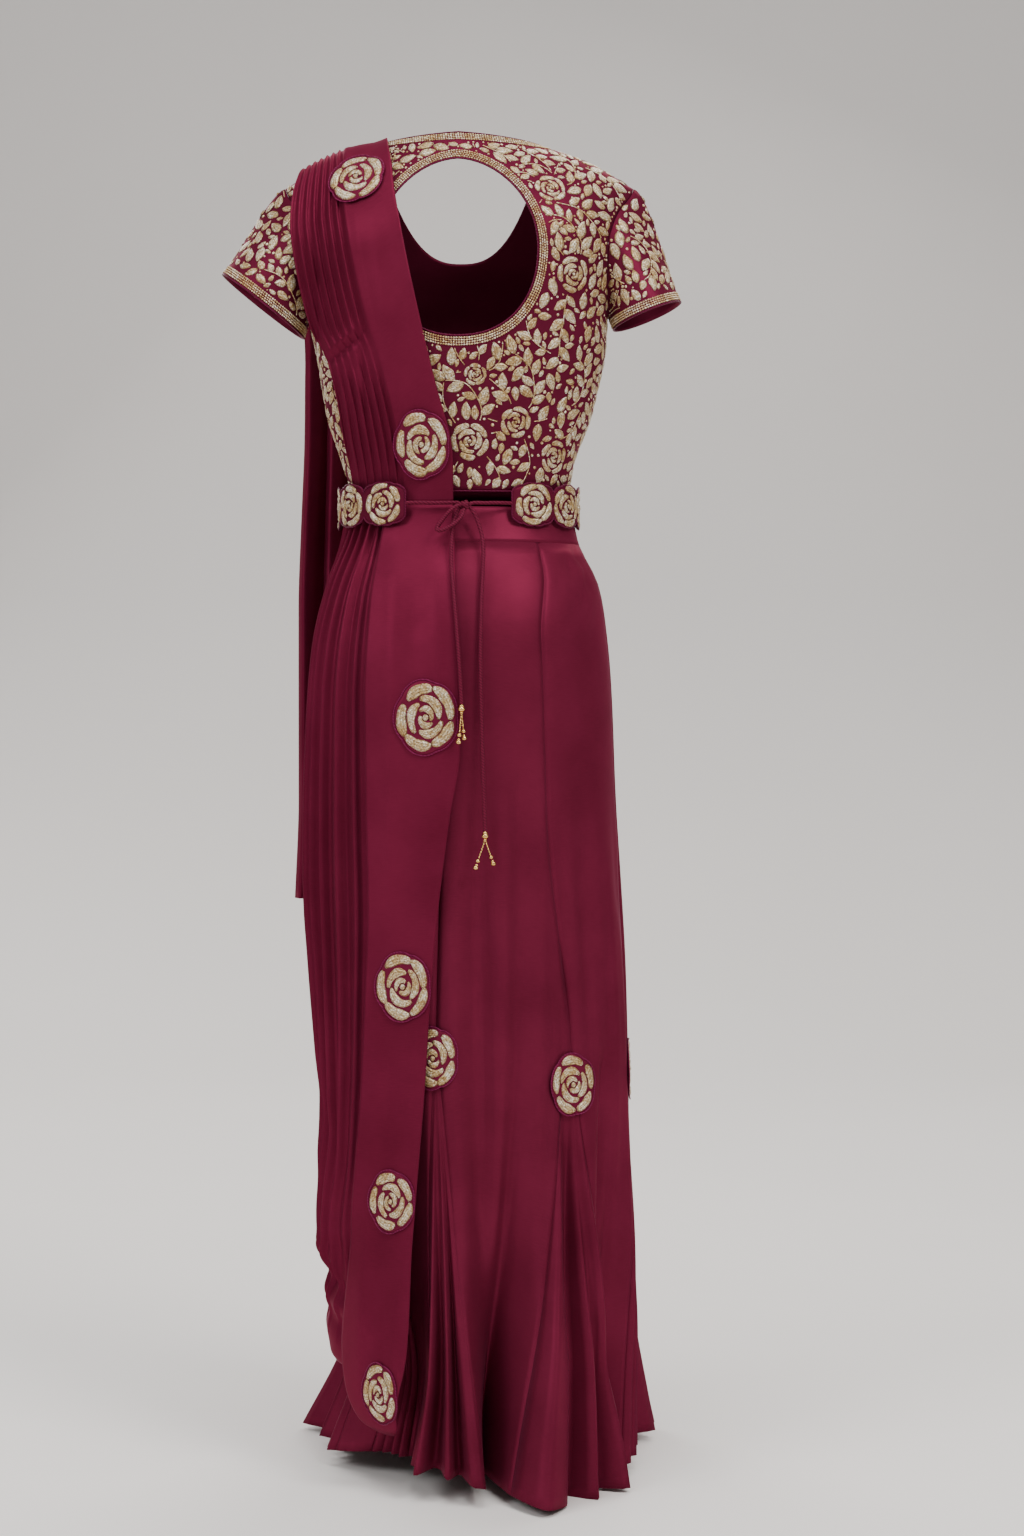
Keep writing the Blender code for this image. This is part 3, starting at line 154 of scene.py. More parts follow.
def build_room():
    profile = [(ROOM_FRONT, 0.0), (SWEEP_START, 0.0)]
    for i in range(1, SWEEP_STEPS + 1):
        turn = math.pi / 2 * i / SWEEP_STEPS
        profile.append((SWEEP_START - SWEEP_RADIUS * math.sin(turn), SWEEP_RADIUS * (1 - math.cos(turn))))
    profile.append((profile[-1][0], ROOM_TOP))
    sides = (-ROOM_HALF_WIDTH, ROOM_HALF_WIDTH)
    points = [(side, y, up - SHOULDER_HEIGHT) for y, up in profile for side in sides]
    faces = [(2 * i, 2 * i + 1, 2 * i + 3, 2 * i + 2) for i in range(len(profile) - 1)]
    surface, tree, shader, where = new_material("room_paint", Roughness=0.62)
    apart = add_node(tree, "ShaderNodeSeparateXYZ", Vector=where["Object"])
    up = add_node(tree, "ShaderNodeMapRange", Value=apart.outputs["Z"], From_Min=-SHOULDER_HEIGHT)
    plug(tree, up, From_Max=FLOOR_BLENDS_OVER - SHOULDER_HEIGHT)
    paint = ramp(tree, up.outputs["Result"], ((0.0, FLOOR_COLOUR), (1.0, WALL_COLOUR)))
    patchy = ramp(tree, noise(tree, where["Object"], 0.9, 3.0), ((0.35, PAINT_SHADE), (0.65, WHITE)))
    plug(tree, shader, Base_Color=blend(tree, "MULTIPLY", 1.0, paint, patchy))
    new_piece("room", points, faces, surface)


def build_lights():
    for name, place, size, power, colour in LIGHTS:
        lamp = bpy.data.lights.new(name, "AREA")
        lamp.shape = "SQUARE"
        lamp.size = size
        lamp.energy = power
        lamp.color = colour
        holder = linked(name, lamp)
        holder.location = place
        holder.rotation_euler = (Vector(LIGHTS_AIM) - holder.location).to_track_quat("-Z", "Y").to_euler()
    studio = bpy.data.worlds.new("studio")
    studio.use_nodes = True
    tree = studio.node_tree
    plug(tree, tree.nodes["Background"], Color=WORLD_COLOUR, Strength=WORLD_STRENGTH)
    bpy.context.scene.world = studio


def build_camera():
    lens = bpy.data.cameras.new("camera")
    lens.lens = CAMERA_LENS
    lens.sensor_width = CAMERA_SENSOR
    holder = linked("camera", lens)
    holder.location = (CAMERA_SIDE, CAMERA_DISTANCE, CAMERA_HEIGHT - SHOULDER_HEIGHT)
    holder.rotation_euler = (math.radians(CAMERA_TILT), 0.0, math.pi)
    bpy.context.scene.camera = holder


build_room()
build_lights()
build_camera()

# Skirt. Eight gores of wine crepe and eight godets let into their seams from the knee down, cut on the thread
# and sewn into one tube. The seams sink in a little, and wear leaves long soft folds.
CLOTH = 0.0010
WAIST_SEAM = 0.984
GODET_TOP = 0.425
GODET_POINT = 0.437
GODET_POINT_ANGLE = 0.9
GODET_OPENS = 1.6
HEM_FOLD_TOP = 0.460
HEM_FOLD_POWER = 1.3
SOFT_FOLD_REACH = 0.0045
# Each row: height above the hem, half-width to the wearer's left and right, depth to the front and back
SKIRT_SECTIONS = (
    ("height", "left", "right", "front", "back"),
    (0.000, 0.165, 0.182, 0.225, 0.178),
    (0.086, 0.130, 0.183, 0.196, 0.166),
    (0.149, 0.121, 0.184, 0.178, 0.157),
    (0.253, 0.125, 0.184, 0.155, 0.141),
    (0.371, 0.135, 0.182, 0.136, 0.127),
    (0.446, 0.140, 0.180, 0.128, 0.120),
    (0.542, 0.147, 0.177, 0.122, 0.117),
    (0.628, 0.153, 0.172, 0.118, 0.118),
    (0.713, 0.1535, 0.167, 0.116, 0.121),
    (0.820, 0.1495, 0.1630, 0.115, 0.126),
    (0.884, 0.1430, 0.1580, 0.112, 0.122),
    (0.943, 0.1290, 0.1480, 0.103, 0.107),
    (0.984, 0.1165, 0.1280, 0.091, 0.088),
    (1.021, 0.1120, 0.1190, 0.083, 0.076),
)
# One row for each godet: the angle of its top and of its hem, half of the hem's angle, how far the hem lifts,
# the fold patterns of the godet and of the gore to its right
GODETS = (
    ("angle", "hem_angle", "half_angle", "lift", "godet_folds", "gore_folds"),
    (9.0, 7.5, 17.0, 0.030, "back_left", "deep"),
    (50.0, 49.0, 14.0, 0.030, "tucked", "tucked"),
    (94.0, 94.0, 14.0, 0.014, "flat", "flat"),
    (139.0, 135.0, 17.0, 0.004, "wing", "soft"),
    (184.0, 184.0, 16.0, 0.000, "even", "soft"),
    (229.0, 236.0, 17.0, 0.006, "far_right", "soft"),
    (274.0, 277.0, 13.0, 0.016, "side", "soft"),
    (319.0, 321.0, 22.0, 0.000, "back_right", "soft"),
)
# How far the hem reaches out of the plain flare, in even steps from the wearer's right to left across a piece
GODET_FOLDS = {
    "even": (0.000, 0.022, -0.008, 0.030, 0.000, 0.030, -0.008, 0.022, 0.000),
    "back_left": (0.000, 0.004, -0.036, -0.004, -0.034, -0.042, -0.008, -0.036, -0.044),
    "back_right": (0.004, 0.034, -0.008, 0.026, -0.012, 0.022, 0.040, 0.052, 0.004),
    "side": (0.000, 0.010, -0.024, 0.008, -0.020, 0.010, -0.024, 0.008, 0.000),
    "tucked": (-0.070, -0.062, -0.074, -0.064, -0.072, -0.062, -0.072, -0.060, -0.060),
    "flat": (-0.030, -0.022, -0.034, -0.022, -0.034, -0.022, -0.032, -0.020, -0.020),
    "wing": (0.000, 0.044, 0.008, 0.052, 0.010, 0.034, -0.006, 0.022, 0.000),
    "far_right": (0.000, 0.034, -0.006, 0.044, 0.010, 0.066, 0.012, 0.048, 0.000),
}
GORE_FOLDS = {
    "soft": (0.000, -0.016, -0.034, -0.046, -0.034, -0.016, 0.000),
    "deep": (0.004, -0.036, -0.074, -0.108, -0.074, -0.036, 0.000),
    "tucked": (-0.044, -0.052, -0.060, -0.066, -0.070, -0.072, -0.070),
    "flat": (-0.060, -0.054, -0.048, -0.044, -0.040, -0.034, -0.030),
}
GORE_SOFT_WAVES = {
    "open": (0.2, -0.3, 0.5, 1.0, -0.8, 0.1, 0.2),
    "covered": (0.2, 0.1, 0.0, 0.1, 0.0, 0.1, 0.2),
}
# Creases, each from an angle and height to another: how wide, and how far it stands out or sinks in
SKIRT_CREASES = (
    (-31.0, 0.765, -25.0, 0.080, 0.0095, 0.0070),
    (-22.0, 0.740, -16.0, 0.120, 0.0075, -0.0050),
    (-40.0, 0.700, -36.0, 0.120, 0.0065, -0.0044),
    (-16.0, 0.700, -12.5, 0.060, 0.0120, 0.0050),
    (-6.5, 0.720, -6.5, 0.160, 0.0110, -0.0060),
    (4.0, 0.400, -1.0, 0.060, 0.0085, -0.0110),
    (-40.5, 0.400, -38.0, 0.160, 0.0095, -0.0130),
    (-59.0, 0.440, -51.0, 0.060, 0.0090, -0.0125),
    (-50.0, 0.360, -44.0, 0.040, 0.0110, 0.0066),
    (2.5, 0.620, 2.0, 0.120, 0.0070, 0.0030),
    (-18.5, 0.520, -17.0, 0.030, 0.0060, -0.0040),
    (-48.0, 0.640, -50.0, 0.440, 0.0070, -0.0042),
    (-53.0, 0.610, -58.0, 0.120, 0.0105, 0.0054),
    (-61.0, 0.640, -66.0, 0.150, 0.0080, -0.0056),
    (-75.0, 0.590, -80.0, 0.080, 0.0110, 0.0050),
    (-84.0, 0.640, -88.0, 0.140, 0.0080, -0.0046),
    (-72.0, 0.974, -44.0, 0.944, 0.0046, -0.0042),
    (-76.0, 0.958, -48.0, 0.908, 0.0050, -0.0040),
    (-66.0, 0.964, -61.0, 0.958, 0.0090, 0.0022),
    (-78.0, 0.930, -60.0, 0.880, 0.0070, -0.0016),
    (-27.0, 0.8560, -76.0, 0.8530, 0.0030, -0.0007),
    (12.0, 0.560, 14.0, 0.120, 0.0080, 0.0030),
    (104.0, 0.740, 108.0, 0.140, 0.0110, 0.0036),
    (116.0, 0.700, 119.0, 0.200, 0.0090, -0.0036),
    (128.0, 0.640, 133.0, 0.110, 0.0120, 0.0040),
    (152.0, 0.760, 158.0, 0.090, 0.0100, 0.0036),
    (166.0, 0.700, 169.0, 0.160, 0.0090, -0.0034),
    (176.0, 0.620, 175.0, 0.060, 0.0120, 0.0032),
    (198.0, 0.730, 203.0, 0.130, 0.0110, 0.0040),
    (211.0, 0.690, 214.0, 0.180, 0.0080, -0.0038),
    (221.0, 0.610, 224.0, 0.080, 0.0100, 0.0030),
    (243.0, 0.750, 247.0, 0.120, 0.0120, 0.0038),
    (256.0, 0.680, 259.0, 0.190, 0.0090, -0.0034),
    (150.0, 0.962, 176.0, 0.946, 0.0060, -0.0014),
    (205.0, 0.966, 182.0, 0.938, 0.0060, -0.0014),
    (110.0, 0.955, 132.0, 0.925, 0.0070, -0.0015),
)
CREASE_RADIUS = 0.160
# How far the gore seams turn at the hip, in degrees
HIP_TURN = 8.0
HEM_LIFT_TOP = 0.25
# Rows of points below and above the godets' points, and spans across a godet and a gore
LOW_ROWS = 36
HIGH_ROWS = 40
GODET_SPANS = 26
GORE_SPANS = 22
SEAM_SINK = 0.0009
SEAM_SINK_WIDTH = 0.0045
WINE = (0.158, 0.0145, 0.0400, 1.0)
WINE_DEEP = (0.112, 0.0098, 0.0270, 1.0)
WINE_SHEEN = (0.78, 0.20, 0.40, 1.0)


def hermite(a, b, leave, arrive, t):
    """A smooth way from a to b that leaves and arrives with the given slopes."""
    t2, t3 = t * t, t * t * t
    return a * (2 * t3 - 3 * t2 + 1) + b * (3 * t2 - 2 * t3) + leave * (t3 - 2 * t2 + t) + arrive * (t3 - t2)


def interpolate(rows, key_column, column, at):
    """A smooth value between the rows of a table sorted by its key column."""
    keys = [row[key_column] for row in rows]
    values = [row[column] for row in rows]
    if at <= keys[0]:
        return values[0]
    if at >= keys[-1]:
        return values[-1]
    i = max(k for k in range(len(keys) - 1) if keys[k] <= at)
    span = keys[i + 1] - keys[i]
    rise = values[i + 1] - values[i]
    if rise == 0:
        return values[i]

    def slope(k):
        """The slope at a row, held back so that no value overshoots."""
        low, high = max(k - 1, 0), min(k + 1, len(keys) - 1)
        plain = (values[high] - values[low]) / (keys[high] - keys[low]) * span
        return math.copysign(min(abs(plain), 3 * abs(rise)), rise) if plain * rise > 0 else 0.0

    return hermite(values[i], values[i + 1], slope(i), slope(i + 1), (at - keys[i]) / span)


def read(table, column, at):
    """A column of a table at a place between its rows. The table's first row names its columns."""
    return interpolate(table[1:], 0, table[0].index(column), at)


def mix(a, b, t):
    return a + (b - a) * t


def ease(t):
    t = min(max(t, 0.0), 1.0)
    return t * t * (3 - 2 * t)


def world(x, y, height):
    return Vector((x, y, height - SHOULDER_HEIGHT))


def section_point(sections, angle, height, squareness):
    """A point of a section. Angle 0 is the middle of the back, and 90 degrees is the wearer's left side."""
    turn = math.radians(angle)
    s, c = math.sin(turn), math.cos(turn)
    side = read(sections, "left" if s > 0 else "right", height)
    depth = read(sections, "back" if c > 0 else "front", height)
    power = 2.0 / squareness
    return math.copysign(side * abs(s) ** power, s), math.copysign(depth * abs(c) ** power, c)


def skirt_base(angle, height):
    x, y = section_point(SKIRT_SECTIONS, angle, height, 2.0)
    return world(x, y, height)


def base_normal(angle, height):
    """Outward level direction of the unfolded skirt."""
    a = skirt_base(angle - 1.0, height)
    b = skirt_base(angle + 1.0, height)
    return Vector((-(b.y - a.y), b.x - a.x, 0.0)).normalized()


def seam_shift(angle, height):
    """The gore seams lie closer to the middle at the hip than at the waist and the knee."""
    hip = ease((1.0 - height) / 0.12) * ease((height - 0.45) / 0.25)
    return angle - HIP_TURN * hip * math.sin(math.radians(2 * angle))


def hem_lift(angle):
    rows = [(godet["hem_angle"] + turn * 360.0, godet["lift"]) for turn in (-1, 0, 1) for godet in godets]
    return interpolate(rows, 0, 1, angle % 360.0)


def hem_share(height):
    """How much of the hem's folds is left at a height."""
    return (max(HEM_FOLD_TOP - height, 0.0) / HEM_FOLD_TOP) ** HEM_FOLD_POWER


def soft_share(height):
    """The gores' soft folds start below the hip and give way to the hem's folds."""
    return ease((0.80 - height) / 0.22) * (1 - 0.7 * ease((0.35 - height) / 0.30))


def skirt_point(angle, height, reach, soft, push):
    """A point of the skirt, pushed out by its folds, with the hem's lift taken up near the floor."""
    out = reach * hem_share(height) + soft * SOFT_FOLD_REACH * soft_share(height) + push
    lift = hem_lift(angle) * ease((HEM_LIFT_TOP - height) / HEM_LIFT_TOP)
    at = skirt_base(angle, height) + base_normal(angle, height) * out
    return at + Vector((0.0, 0.0, lift))


def godet_edges(godet, height):
    """The two seam angles of a godet at a height. Above its point they are one seam."""
    below = max(GODET_POINT - height, 0.0) / GODET_POINT
    centre = mix(seam_shift(godet["angle"], height), godet["hem_angle"], below)
    half = 0.0 if below == 0.0 else mix(GODET_POINT_ANGLE, godet["half_angle"], below)
    return centre - half, centre + half


def crease_push(angle, height):
    """How far the skirt's creases move a point of it, in or out."""
    a0, h0, a1, h1, half_width, rise = np.array(SKIRT_CREASES).T
    dx, dh = np.radians(a1 - a0) * CREASE_RADIUS, h1 - h0
    aside, below = np.radians((angle - a0 + 180.0) % 360.0 - 180.0) * CREASE_RADIUS, height - h0
    walked = np.clip((aside * dx + below * dh) / (dx * dx + dh * dh), 0.0, 1.0)
    away = np.hypot(aside - walked * dx, below - walked * dh) / half_width
    return float(np.sum(rise * np.sin(np.pi * (0.04 + 0.92 * walked)) ** 0.6 * np.exp(-away * away)))


def even_value(values, share):
    """A smooth value between evenly spaced ones."""
    return interpolate(list(enumerate(values)), 0, 1, share * (len(values) - 1))


def grid_normals(points, closed):
    """Unit normals of a fine grid of points, pointing away from the body."""
    across = np.gradient(points, axis=1)
    if closed:
        across = np.roll(points, -1, axis=1) - np.roll(points, 1, axis=1)
    along = np.gradient(points, axis=0)
    normals = np.cross(along, across)
    normals /= np.maximum(np.linalg.norm(normals, axis=2, keepdims=True), 1e-12)
    if np.sum(normals[..., :2] * points[..., :2]) < 0:
        normals = -normals
    return normals


def cut_size(points):
    """Width, length and area of the flat cloth that a grid of points was cut from."""
    widths = np.linalg.norm(np.diff(points, axis=1), axis=2).sum(axis=1)
    lengths = np.linalg.norm(np.diff(points, axis=0), axis=2).sum(axis=0)
    a = points[1:, 1:] - points[:-1, :-1]
    b = points[1:, :-1] - points[:-1, 1:]
    area = float(np.linalg.norm(np.cross(a, b), axis=2).sum() / 2)
    width, length = float(widths.max()), float(lengths.max())
    return width, length, min(area, width * length)


def outer_quads(points, closed):
    """The quads between a grid's points, facing away from the body, and whether that turned them round."""
    rows, count = points.shape[:2]
    r, c = np.meshgrid(np.arange(rows - 1), np.arange(count if closed else count - 1), indexing="ij")
    r, c = r.ravel(), c.ravel()
    d = (c + 1) % count
    quads = np.stack([r * count + c, r * count + d, (r + 1) * count + d, (r + 1) * count + c], axis=1)
    facing = np.cross(points[0, 1] - points[0, 0], points[1, 0] - points[0, 0])
    turned = np.dot(facing, grid_normals(points, closed)[0, 0]) < 0
    return (quads[:, ::-1] if turned else quads), turned


def along_cloth(points, axis):
    """How far each point of a grid lies along the cloth in one direction."""
    steps = np.linalg.norm(np.diff(points, axis=axis), axis=2)
    return np.cumsum(np.insert(steps, 0, 0.0, axis=axis), axis=axis).ravel()


def cloth_shell(name, grid, surface, closed, thickness):
    """A thin wall of cloth, closed all round, whose outer face passes through a fine grid of points."""
    points = np.array(grid, dtype=float)
    rows, count = points.shape[:2]
    inner = points - grid_normals(points, closed) * thickness
    vertices = np.concatenate([points.reshape(-1, 3), inner.reshape(-1, 3)])
    outer_faces, turned = outer_quads(points, closed)
    inner_faces = outer_faces[:, ::-1] + rows * count
    # The first and last rows, and the two sides of an open panel, join the two faces
    last = (rows - 1) * count
    spans = [(k, (k + 1) % count) for k in range(count if closed else count - 1)]
    ends = spans + [(last + b, last + a) for a, b in spans]
    if not closed:
        ends += [((k + 1) * count, k * count) for k in range(rows - 1)]
        ends += [(k * count + count - 1, (k + 1) * count + count - 1) for k in range(rows - 1)]
    rims = np.array([(a, a + rows * count, b + rows * count, b) for a, b in ends])
    faces = np.concatenate([outer_faces, inner_faces, rims[:, ::-1] if turned else rims])
    flat = np.tile(np.stack([along_cloth(points, 1), along_cloth(points, 0)], axis=1), (2, 1))
    return new_piece(name, vertices.tolist(), faces.tolist(), surface, flat), points


def bump(tree, height, strength, distance, invert=False, **below):
    """A fine relief, as a normal for the shader."""
    made = add_node(tree, "ShaderNodeBump", {"invert": invert}, Height=height, Strength=strength, **below)
    return plug(tree, made, Distance=distance).outputs["Normal"]


def crepe(name, colour, deep):
    """Smooth crepe: an even fine weave, a soft sheen, and dye that takes a little deeper in places."""
    surface, tree, shader, where = new_material(
        name, Roughness=0.46, Metallic=0.36, Specular_IOR_Level=0.02, Specular_Tint=WINE_SHEEN,
        Sheen_Weight=0.04, Sheen_Roughness=0.40, Sheen_Tint=WINE_SHEEN,
    )

    def threads(scale, detail):
        place = add_node(tree, "ShaderNodeMapping", Vector=where["UV"], Scale=scale)
        return noise(tree, place.outputs["Vector"], 1.0, detail)

    tone = ramp(tree, noise(tree, where["Object"], 11.0, 4.0), ((0.30, deep), (0.68, colour)))
    faded = (*(min(c * 1.22, 1.0) for c in colour[:3]), 1.0)
    slubs = ramp(tree, threads((90.0, 1400.0, 1.0), 2.0), ((0.35, deep), (0.75, faded)))
    fine = bump(tree, threads((1100.0, 1100.0, 1.0), 1.0), 0.16, 0.0002)
    rumple = bump(tree, noise(tree, where["Object"], 55.0, 3.0), 0.10, 0.003, Normal=fine)
    plug(tree, shader, Base_Color=blend(tree, "MIX", 0.22, tone, slubs), Normal=rumple)
    return surface


def put_on(obj, slot, *nodes):
    """The piece rides on the garment and stands for its solids, which are hidden. The slot is not used."""
    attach(obj, "root")
    if nodes:
        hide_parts(*nodes)
    return obj


def sheet_piece(name, grid, surface, held, node, closed=False, slot="crepe", thickness=CLOTH):
    """A panel of cloth as a thin shell. The size that it was cut to is worked out but not used."""
    obj, points = cloth_shell(name, grid, surface, closed, thickness)
    put_on(obj, slot, *(node if isinstance(node, tuple) else (node,)))
    width, length, area = cut_size(np.concatenate([points, points[:, :1]], axis=1) if closed else points)
    return points


def panel_heights():
    """The heights of a panel's rows, closer together where the godets come to their points."""
    low = [GODET_TOP * i / LOW_ROWS for i in range(LOW_ROWS + 1)]
    point = [mix(GODET_TOP, GODET_POINT, share) for share in (0.35, 0.70, 0.96)]
    return low + point + [mix(GODET_POINT, WAIST_SEAM, i / HIGH_ROWS) for i in range(1, HIGH_ROWS + 1)]


def skirt_panel(index, is_godet):
    """The fine grid of a gore, or of the godet to its left."""
    godet, before, after = godets[index], godets[index - 1], godets[(index + 1) % len(godets)]
    gore_folds = GORE_FOLDS[godet["gore_folds"]]
    godet_folds = GODET_FOLDS[godet["godet_folds"]][:-1] + GORE_FOLDS[after["gore_folds"]][:1]
    soft_wave = GORE_SOFT_WAVES["covered" if godet["gore_folds"] in ("tucked", "flat") else "open"]
    columns = GODET_SPANS if is_godet else GORE_SPANS
    grid = []
    for height in panel_heights():
        if is_godet and height > GODET_POINT:
            break
        start = godet_edges(before, height)[1] - (360.0 if index == 0 else 0.0)
        end, far = godet_edges(godet, height)
        first, last = (end, far) if is_godet else (start, end)
        width = math.radians(last - first) * CREASE_RADIUS
        opened = min(GODET_OPENS * max(GODET_POINT - height, 0.0) / GODET_POINT, 1.0)
        line = []
        for i in range(columns + 1):
            share = i / columns
            if is_godet:
                closed = mix(godet_folds[0], godet_folds[-1], share)
                reach, soft = mix(closed, even_value(godet_folds, share), opened), soft_wave[0]
            else:
                reach, soft = even_value(gore_folds, share), even_value(soft_wave, share)
            angle = mix(first, last, share)
            seam = min(share, 1 - share) * width / SEAM_SINK_WIDTH
            push = crease_push(angle, height) - SEAM_SINK * math.exp(-seam * seam)
            line.append(skirt_point(angle, height, reach, soft, push))
        grid.append(line)
    return grid


wine_crepe = crepe("wine_crepe", WINE, WINE_DEEP)
godets = [dict(zip(GODETS[0], row)) for row in GODETS[1:]]
skirt_grids = []
for number in range(1, len(godets) + 1):
    for kind, held_by in (("gore", "skirt_waistband"), ("godet", f"skirt_gore_{number}")):
        panel = skirt_panel(number - 1, kind == "godet")
        points = sheet_piece(
            f"{kind}_{number}_cloth", panel, wine_crepe, "hung", node=f"skirt_{kind}_{number}"
        )
        skirt_grids.append((points, False))

# Skirt waistband. A doubled strip of the same crepe, stitched over the tops of the gores. It ripples a little
# between its two lines of stitching.
WAIST_TOP = 1.021
WAISTBAND_RIPPLE = 0.0005
WAISTBAND_THICKNESS = 0.0012
WAISTBAND_SPANS = (10, 144)


def grid_of(rows, columns, rule, closed=False):
    """Rows of points by a rule, which takes the shares of the way along a panel and across it."""
    across = [c / columns for c in range(columns if closed else columns + 1)]
    return [[rule(r / rows, share) for share in across] for r in range(rows + 1)]


def waistband_point(up, around):
    angle, height = 360.0 * around, mix(WAIST_SEAM, WAIST_TOP, up)
    ripple = math.sin(math.radians(13 * angle)) * math.sin(math.radians(7 * angle + 900 * height))
    push = WAISTBAND_RIPPLE * ripple * math.exp(-2 * (2 * up - 1) ** 2)
    return skirt_base(angle, height) + base_normal(angle, height) * push


waistband = grid_of(*WAISTBAND_SPANS, waistband_point, closed=True)
sheet_piece(
    "waistband_cloth", waistband, wine_crepe, "stretched", closed=True,
    node="skirt_waistband", thickness=WAISTBAND_THICKNESS,
)

# Blouse. A fitted crepe blouse in two main pieces with short flared sleeves and a large round opening in the
# back. Every edge is bound with a thin wine cord.
BLOUSE_HEM = 1.037
ARMPIT = 1.225
SHOULDER_TIP = (0.185, 1.363)
NECK_POINT = (0.089, 1.4065)
NAPE_HEIGHT = 1.4115
FRONT_NECK_HEIGHT = 1.300
SHOULDER_ROUNDING = 0.120
TORSO_SQUARENESS = 2.2
SCOOP_SQUARENESS = 2.6
NAPE_SQUARENESS = 2.0
SHOULDER_BULGE = 0.006
SEAM_GAP = 0.0003
CLOSE = 0.0002
BACK_OPENING = {"height": 1.2885, "half_width": 0.083, "half_height": 0.0925}
TORSO_SECTIONS = (
    ("height", "left", "right", "front", "back"),
    (1.037, 0.1130, 0.1160, 0.0830, 0.0750),
    (1.055, 0.1195, 0.1190, 0.0860, 0.0770),
    (1.077, 0.1265, 0.1234, 0.0910, 0.0795),
    (1.118, 0.1400, 0.1394, 0.1050, 0.0850),
    (1.148, 0.1455, 0.1469, 0.1180, 0.0900),
    (1.182, 0.1510, 0.1544, 0.1300, 0.0940),
    (1.225, 0.1600, 0.1580, 0.1330, 0.0970),
    (1.260, 0.1640, 0.1640, 0.1250, 0.0990),
    (1.298, 0.1720, 0.1720, 0.1120, 0.0990),
    (1.340, 0.1810, 0.1810, 0.0980, 0.0950),
    (1.363, 0.1860, 0.1860, 0.0900, 0.0900),
    (1.420, 0.2000, 0.2000, 0.0800, 0.0850),
)
# Distance of the armhole seam from the middle, at each height above the armpit
ARMHOLE = (
    ("height", "reach"),
    (1.225, 0.1580),
    (1.250, 0.1570),
    (1.298, 0.1565),
    (1.330, 0.1660),
    (1.363, 0.1850),
    (1.430, 0.1850),
)
# The sleeve's hem: its inner and outer points, then how far it reaches to the front and back
SLEEVES = {
    "sleeve_left": {"side": 1, "inner": (0.1660, 1.205), "outer": (0.252, 1.272), "half_depth": 0.056},
    "sleeve_right": {"side": -1, "inner": (0.1640, 1.214), "outer": (0.2357, 1.2425), "half_depth": 0.054},
}
LOWER_ROWS = 24
UPPER_ROWS = 32
SIDE_COLUMNS = 14
NECK_COLUMNS = 24
HEM_COLUMNS = 18
BLOUSE_RINGS = 26
SLEEVE_RINGS = 24
SLEEVE_LEANS = (0.35, 0.30)
BINDING_RADIUS = 0.0009
BLOUSE_WINE = (0.122, 0.0110, 0.0320, 1.0)
BLOUSE_DEEP = (0.084, 0.0070, 0.0210, 1.0)
BINDING_WINE = (0.120, 0.0080, 0.0400, 1.0)


def shoulder_line(x):
    along = (abs(x) - NECK_POINT[0]) / (SHOULDER_TIP[0] - NECK_POINT[0])
    bulge = SHOULDER_BULGE * math.sin(math.pi * min(max(along, 0.0), 1.0))
    return mix(NECK_POINT[1], SHOULDER_TIP[1], along) + bulge


def torso_angle(x, height):
    """The section angle, from the middle, at which the torso is this far to the side."""
    side = read(TORSO_SECTIONS, "left" if x > 0 else "right", height)
    share = min(abs(x) / side, 1.0) ** (TORSO_SQUARENESS / 2)
    return math.copysign(math.degrees(math.asin(share)), x)


def edge_angle(height, side):
    if height <= ARMPIT:
        return 90.0
    return abs(torso_angle(side * read(ARMHOLE, "reach", height), height))


def torso_point(angle, height, front):
    """A point of the blouse. The angle runs from -90 at the right side to 90 at the left."""
    x, y = section_point(TORSO_SECTIONS, angle, height, TORSO_SQUARENESS)
    if front:
        y *= read(TORSO_SECTIONS, "front", height) / read(TORSO_SECTIONS, "back", height)
    below = min(max((shoulder_line(x) - height) / SHOULDER_ROUNDING, 0.0), 1.0)
    y = abs(y) * math.sqrt(1 - (1 - below) ** 2) + SEAM_GAP / 2
    return world(x, -y if front else y, height)


def opening_point(turn):
    """The back opening's edge at an angle from straight down, as (across, height)."""
    s, c = math.sin(turn), -math.cos(turn)
    squareness = 2.2 if c < 0 else 1.9
    scale = (
        abs(s / BACK_OPENING["half_width"]) ** squareness + abs(c / BACK_OPENING["half_height"]) ** squareness
    ) ** (-1 / squareness)
    return s * scale, BACK_OPENING["height"] + c * scale


def side_heights():
    lower = [mix(BLOUSE_HEM, ARMPIT, i / LOWER_ROWS) for i in range(LOWER_ROWS)]
    upper = [mix(ARMPIT, SHOULDER_TIP[1], i / UPPER_ROWS) for i in range(UPPER_ROWS + 1)]
    return lower + upper


def top_edge(front):
    """Half of the top edge, from the middle of the neck to the shoulder tip, as (across, height)."""
    points = []
    for i in range(NECK_COLUMNS):
        x = NECK_POINT[0] * math.sin(math.pi / 2 * i / NECK_COLUMNS)
        share = x / NECK_POINT[0]
        if front:
            height = mix(FRONT_NECK_HEIGHT, NECK_POINT[1], share**SCOOP_SQUARENESS)
        else:
            height = mix(NAPE_HEIGHT, NECK_POINT[1], share**NAPE_SQUARENESS)
        points.append((x, height))
    for i in range(SIDE_COLUMNS + 1):
        x = mix(NECK_POINT[0], SHOULDER_TIP[0], i / SIDE_COLUMNS)
        points.append((x, shoulder_line(x)))
    return points


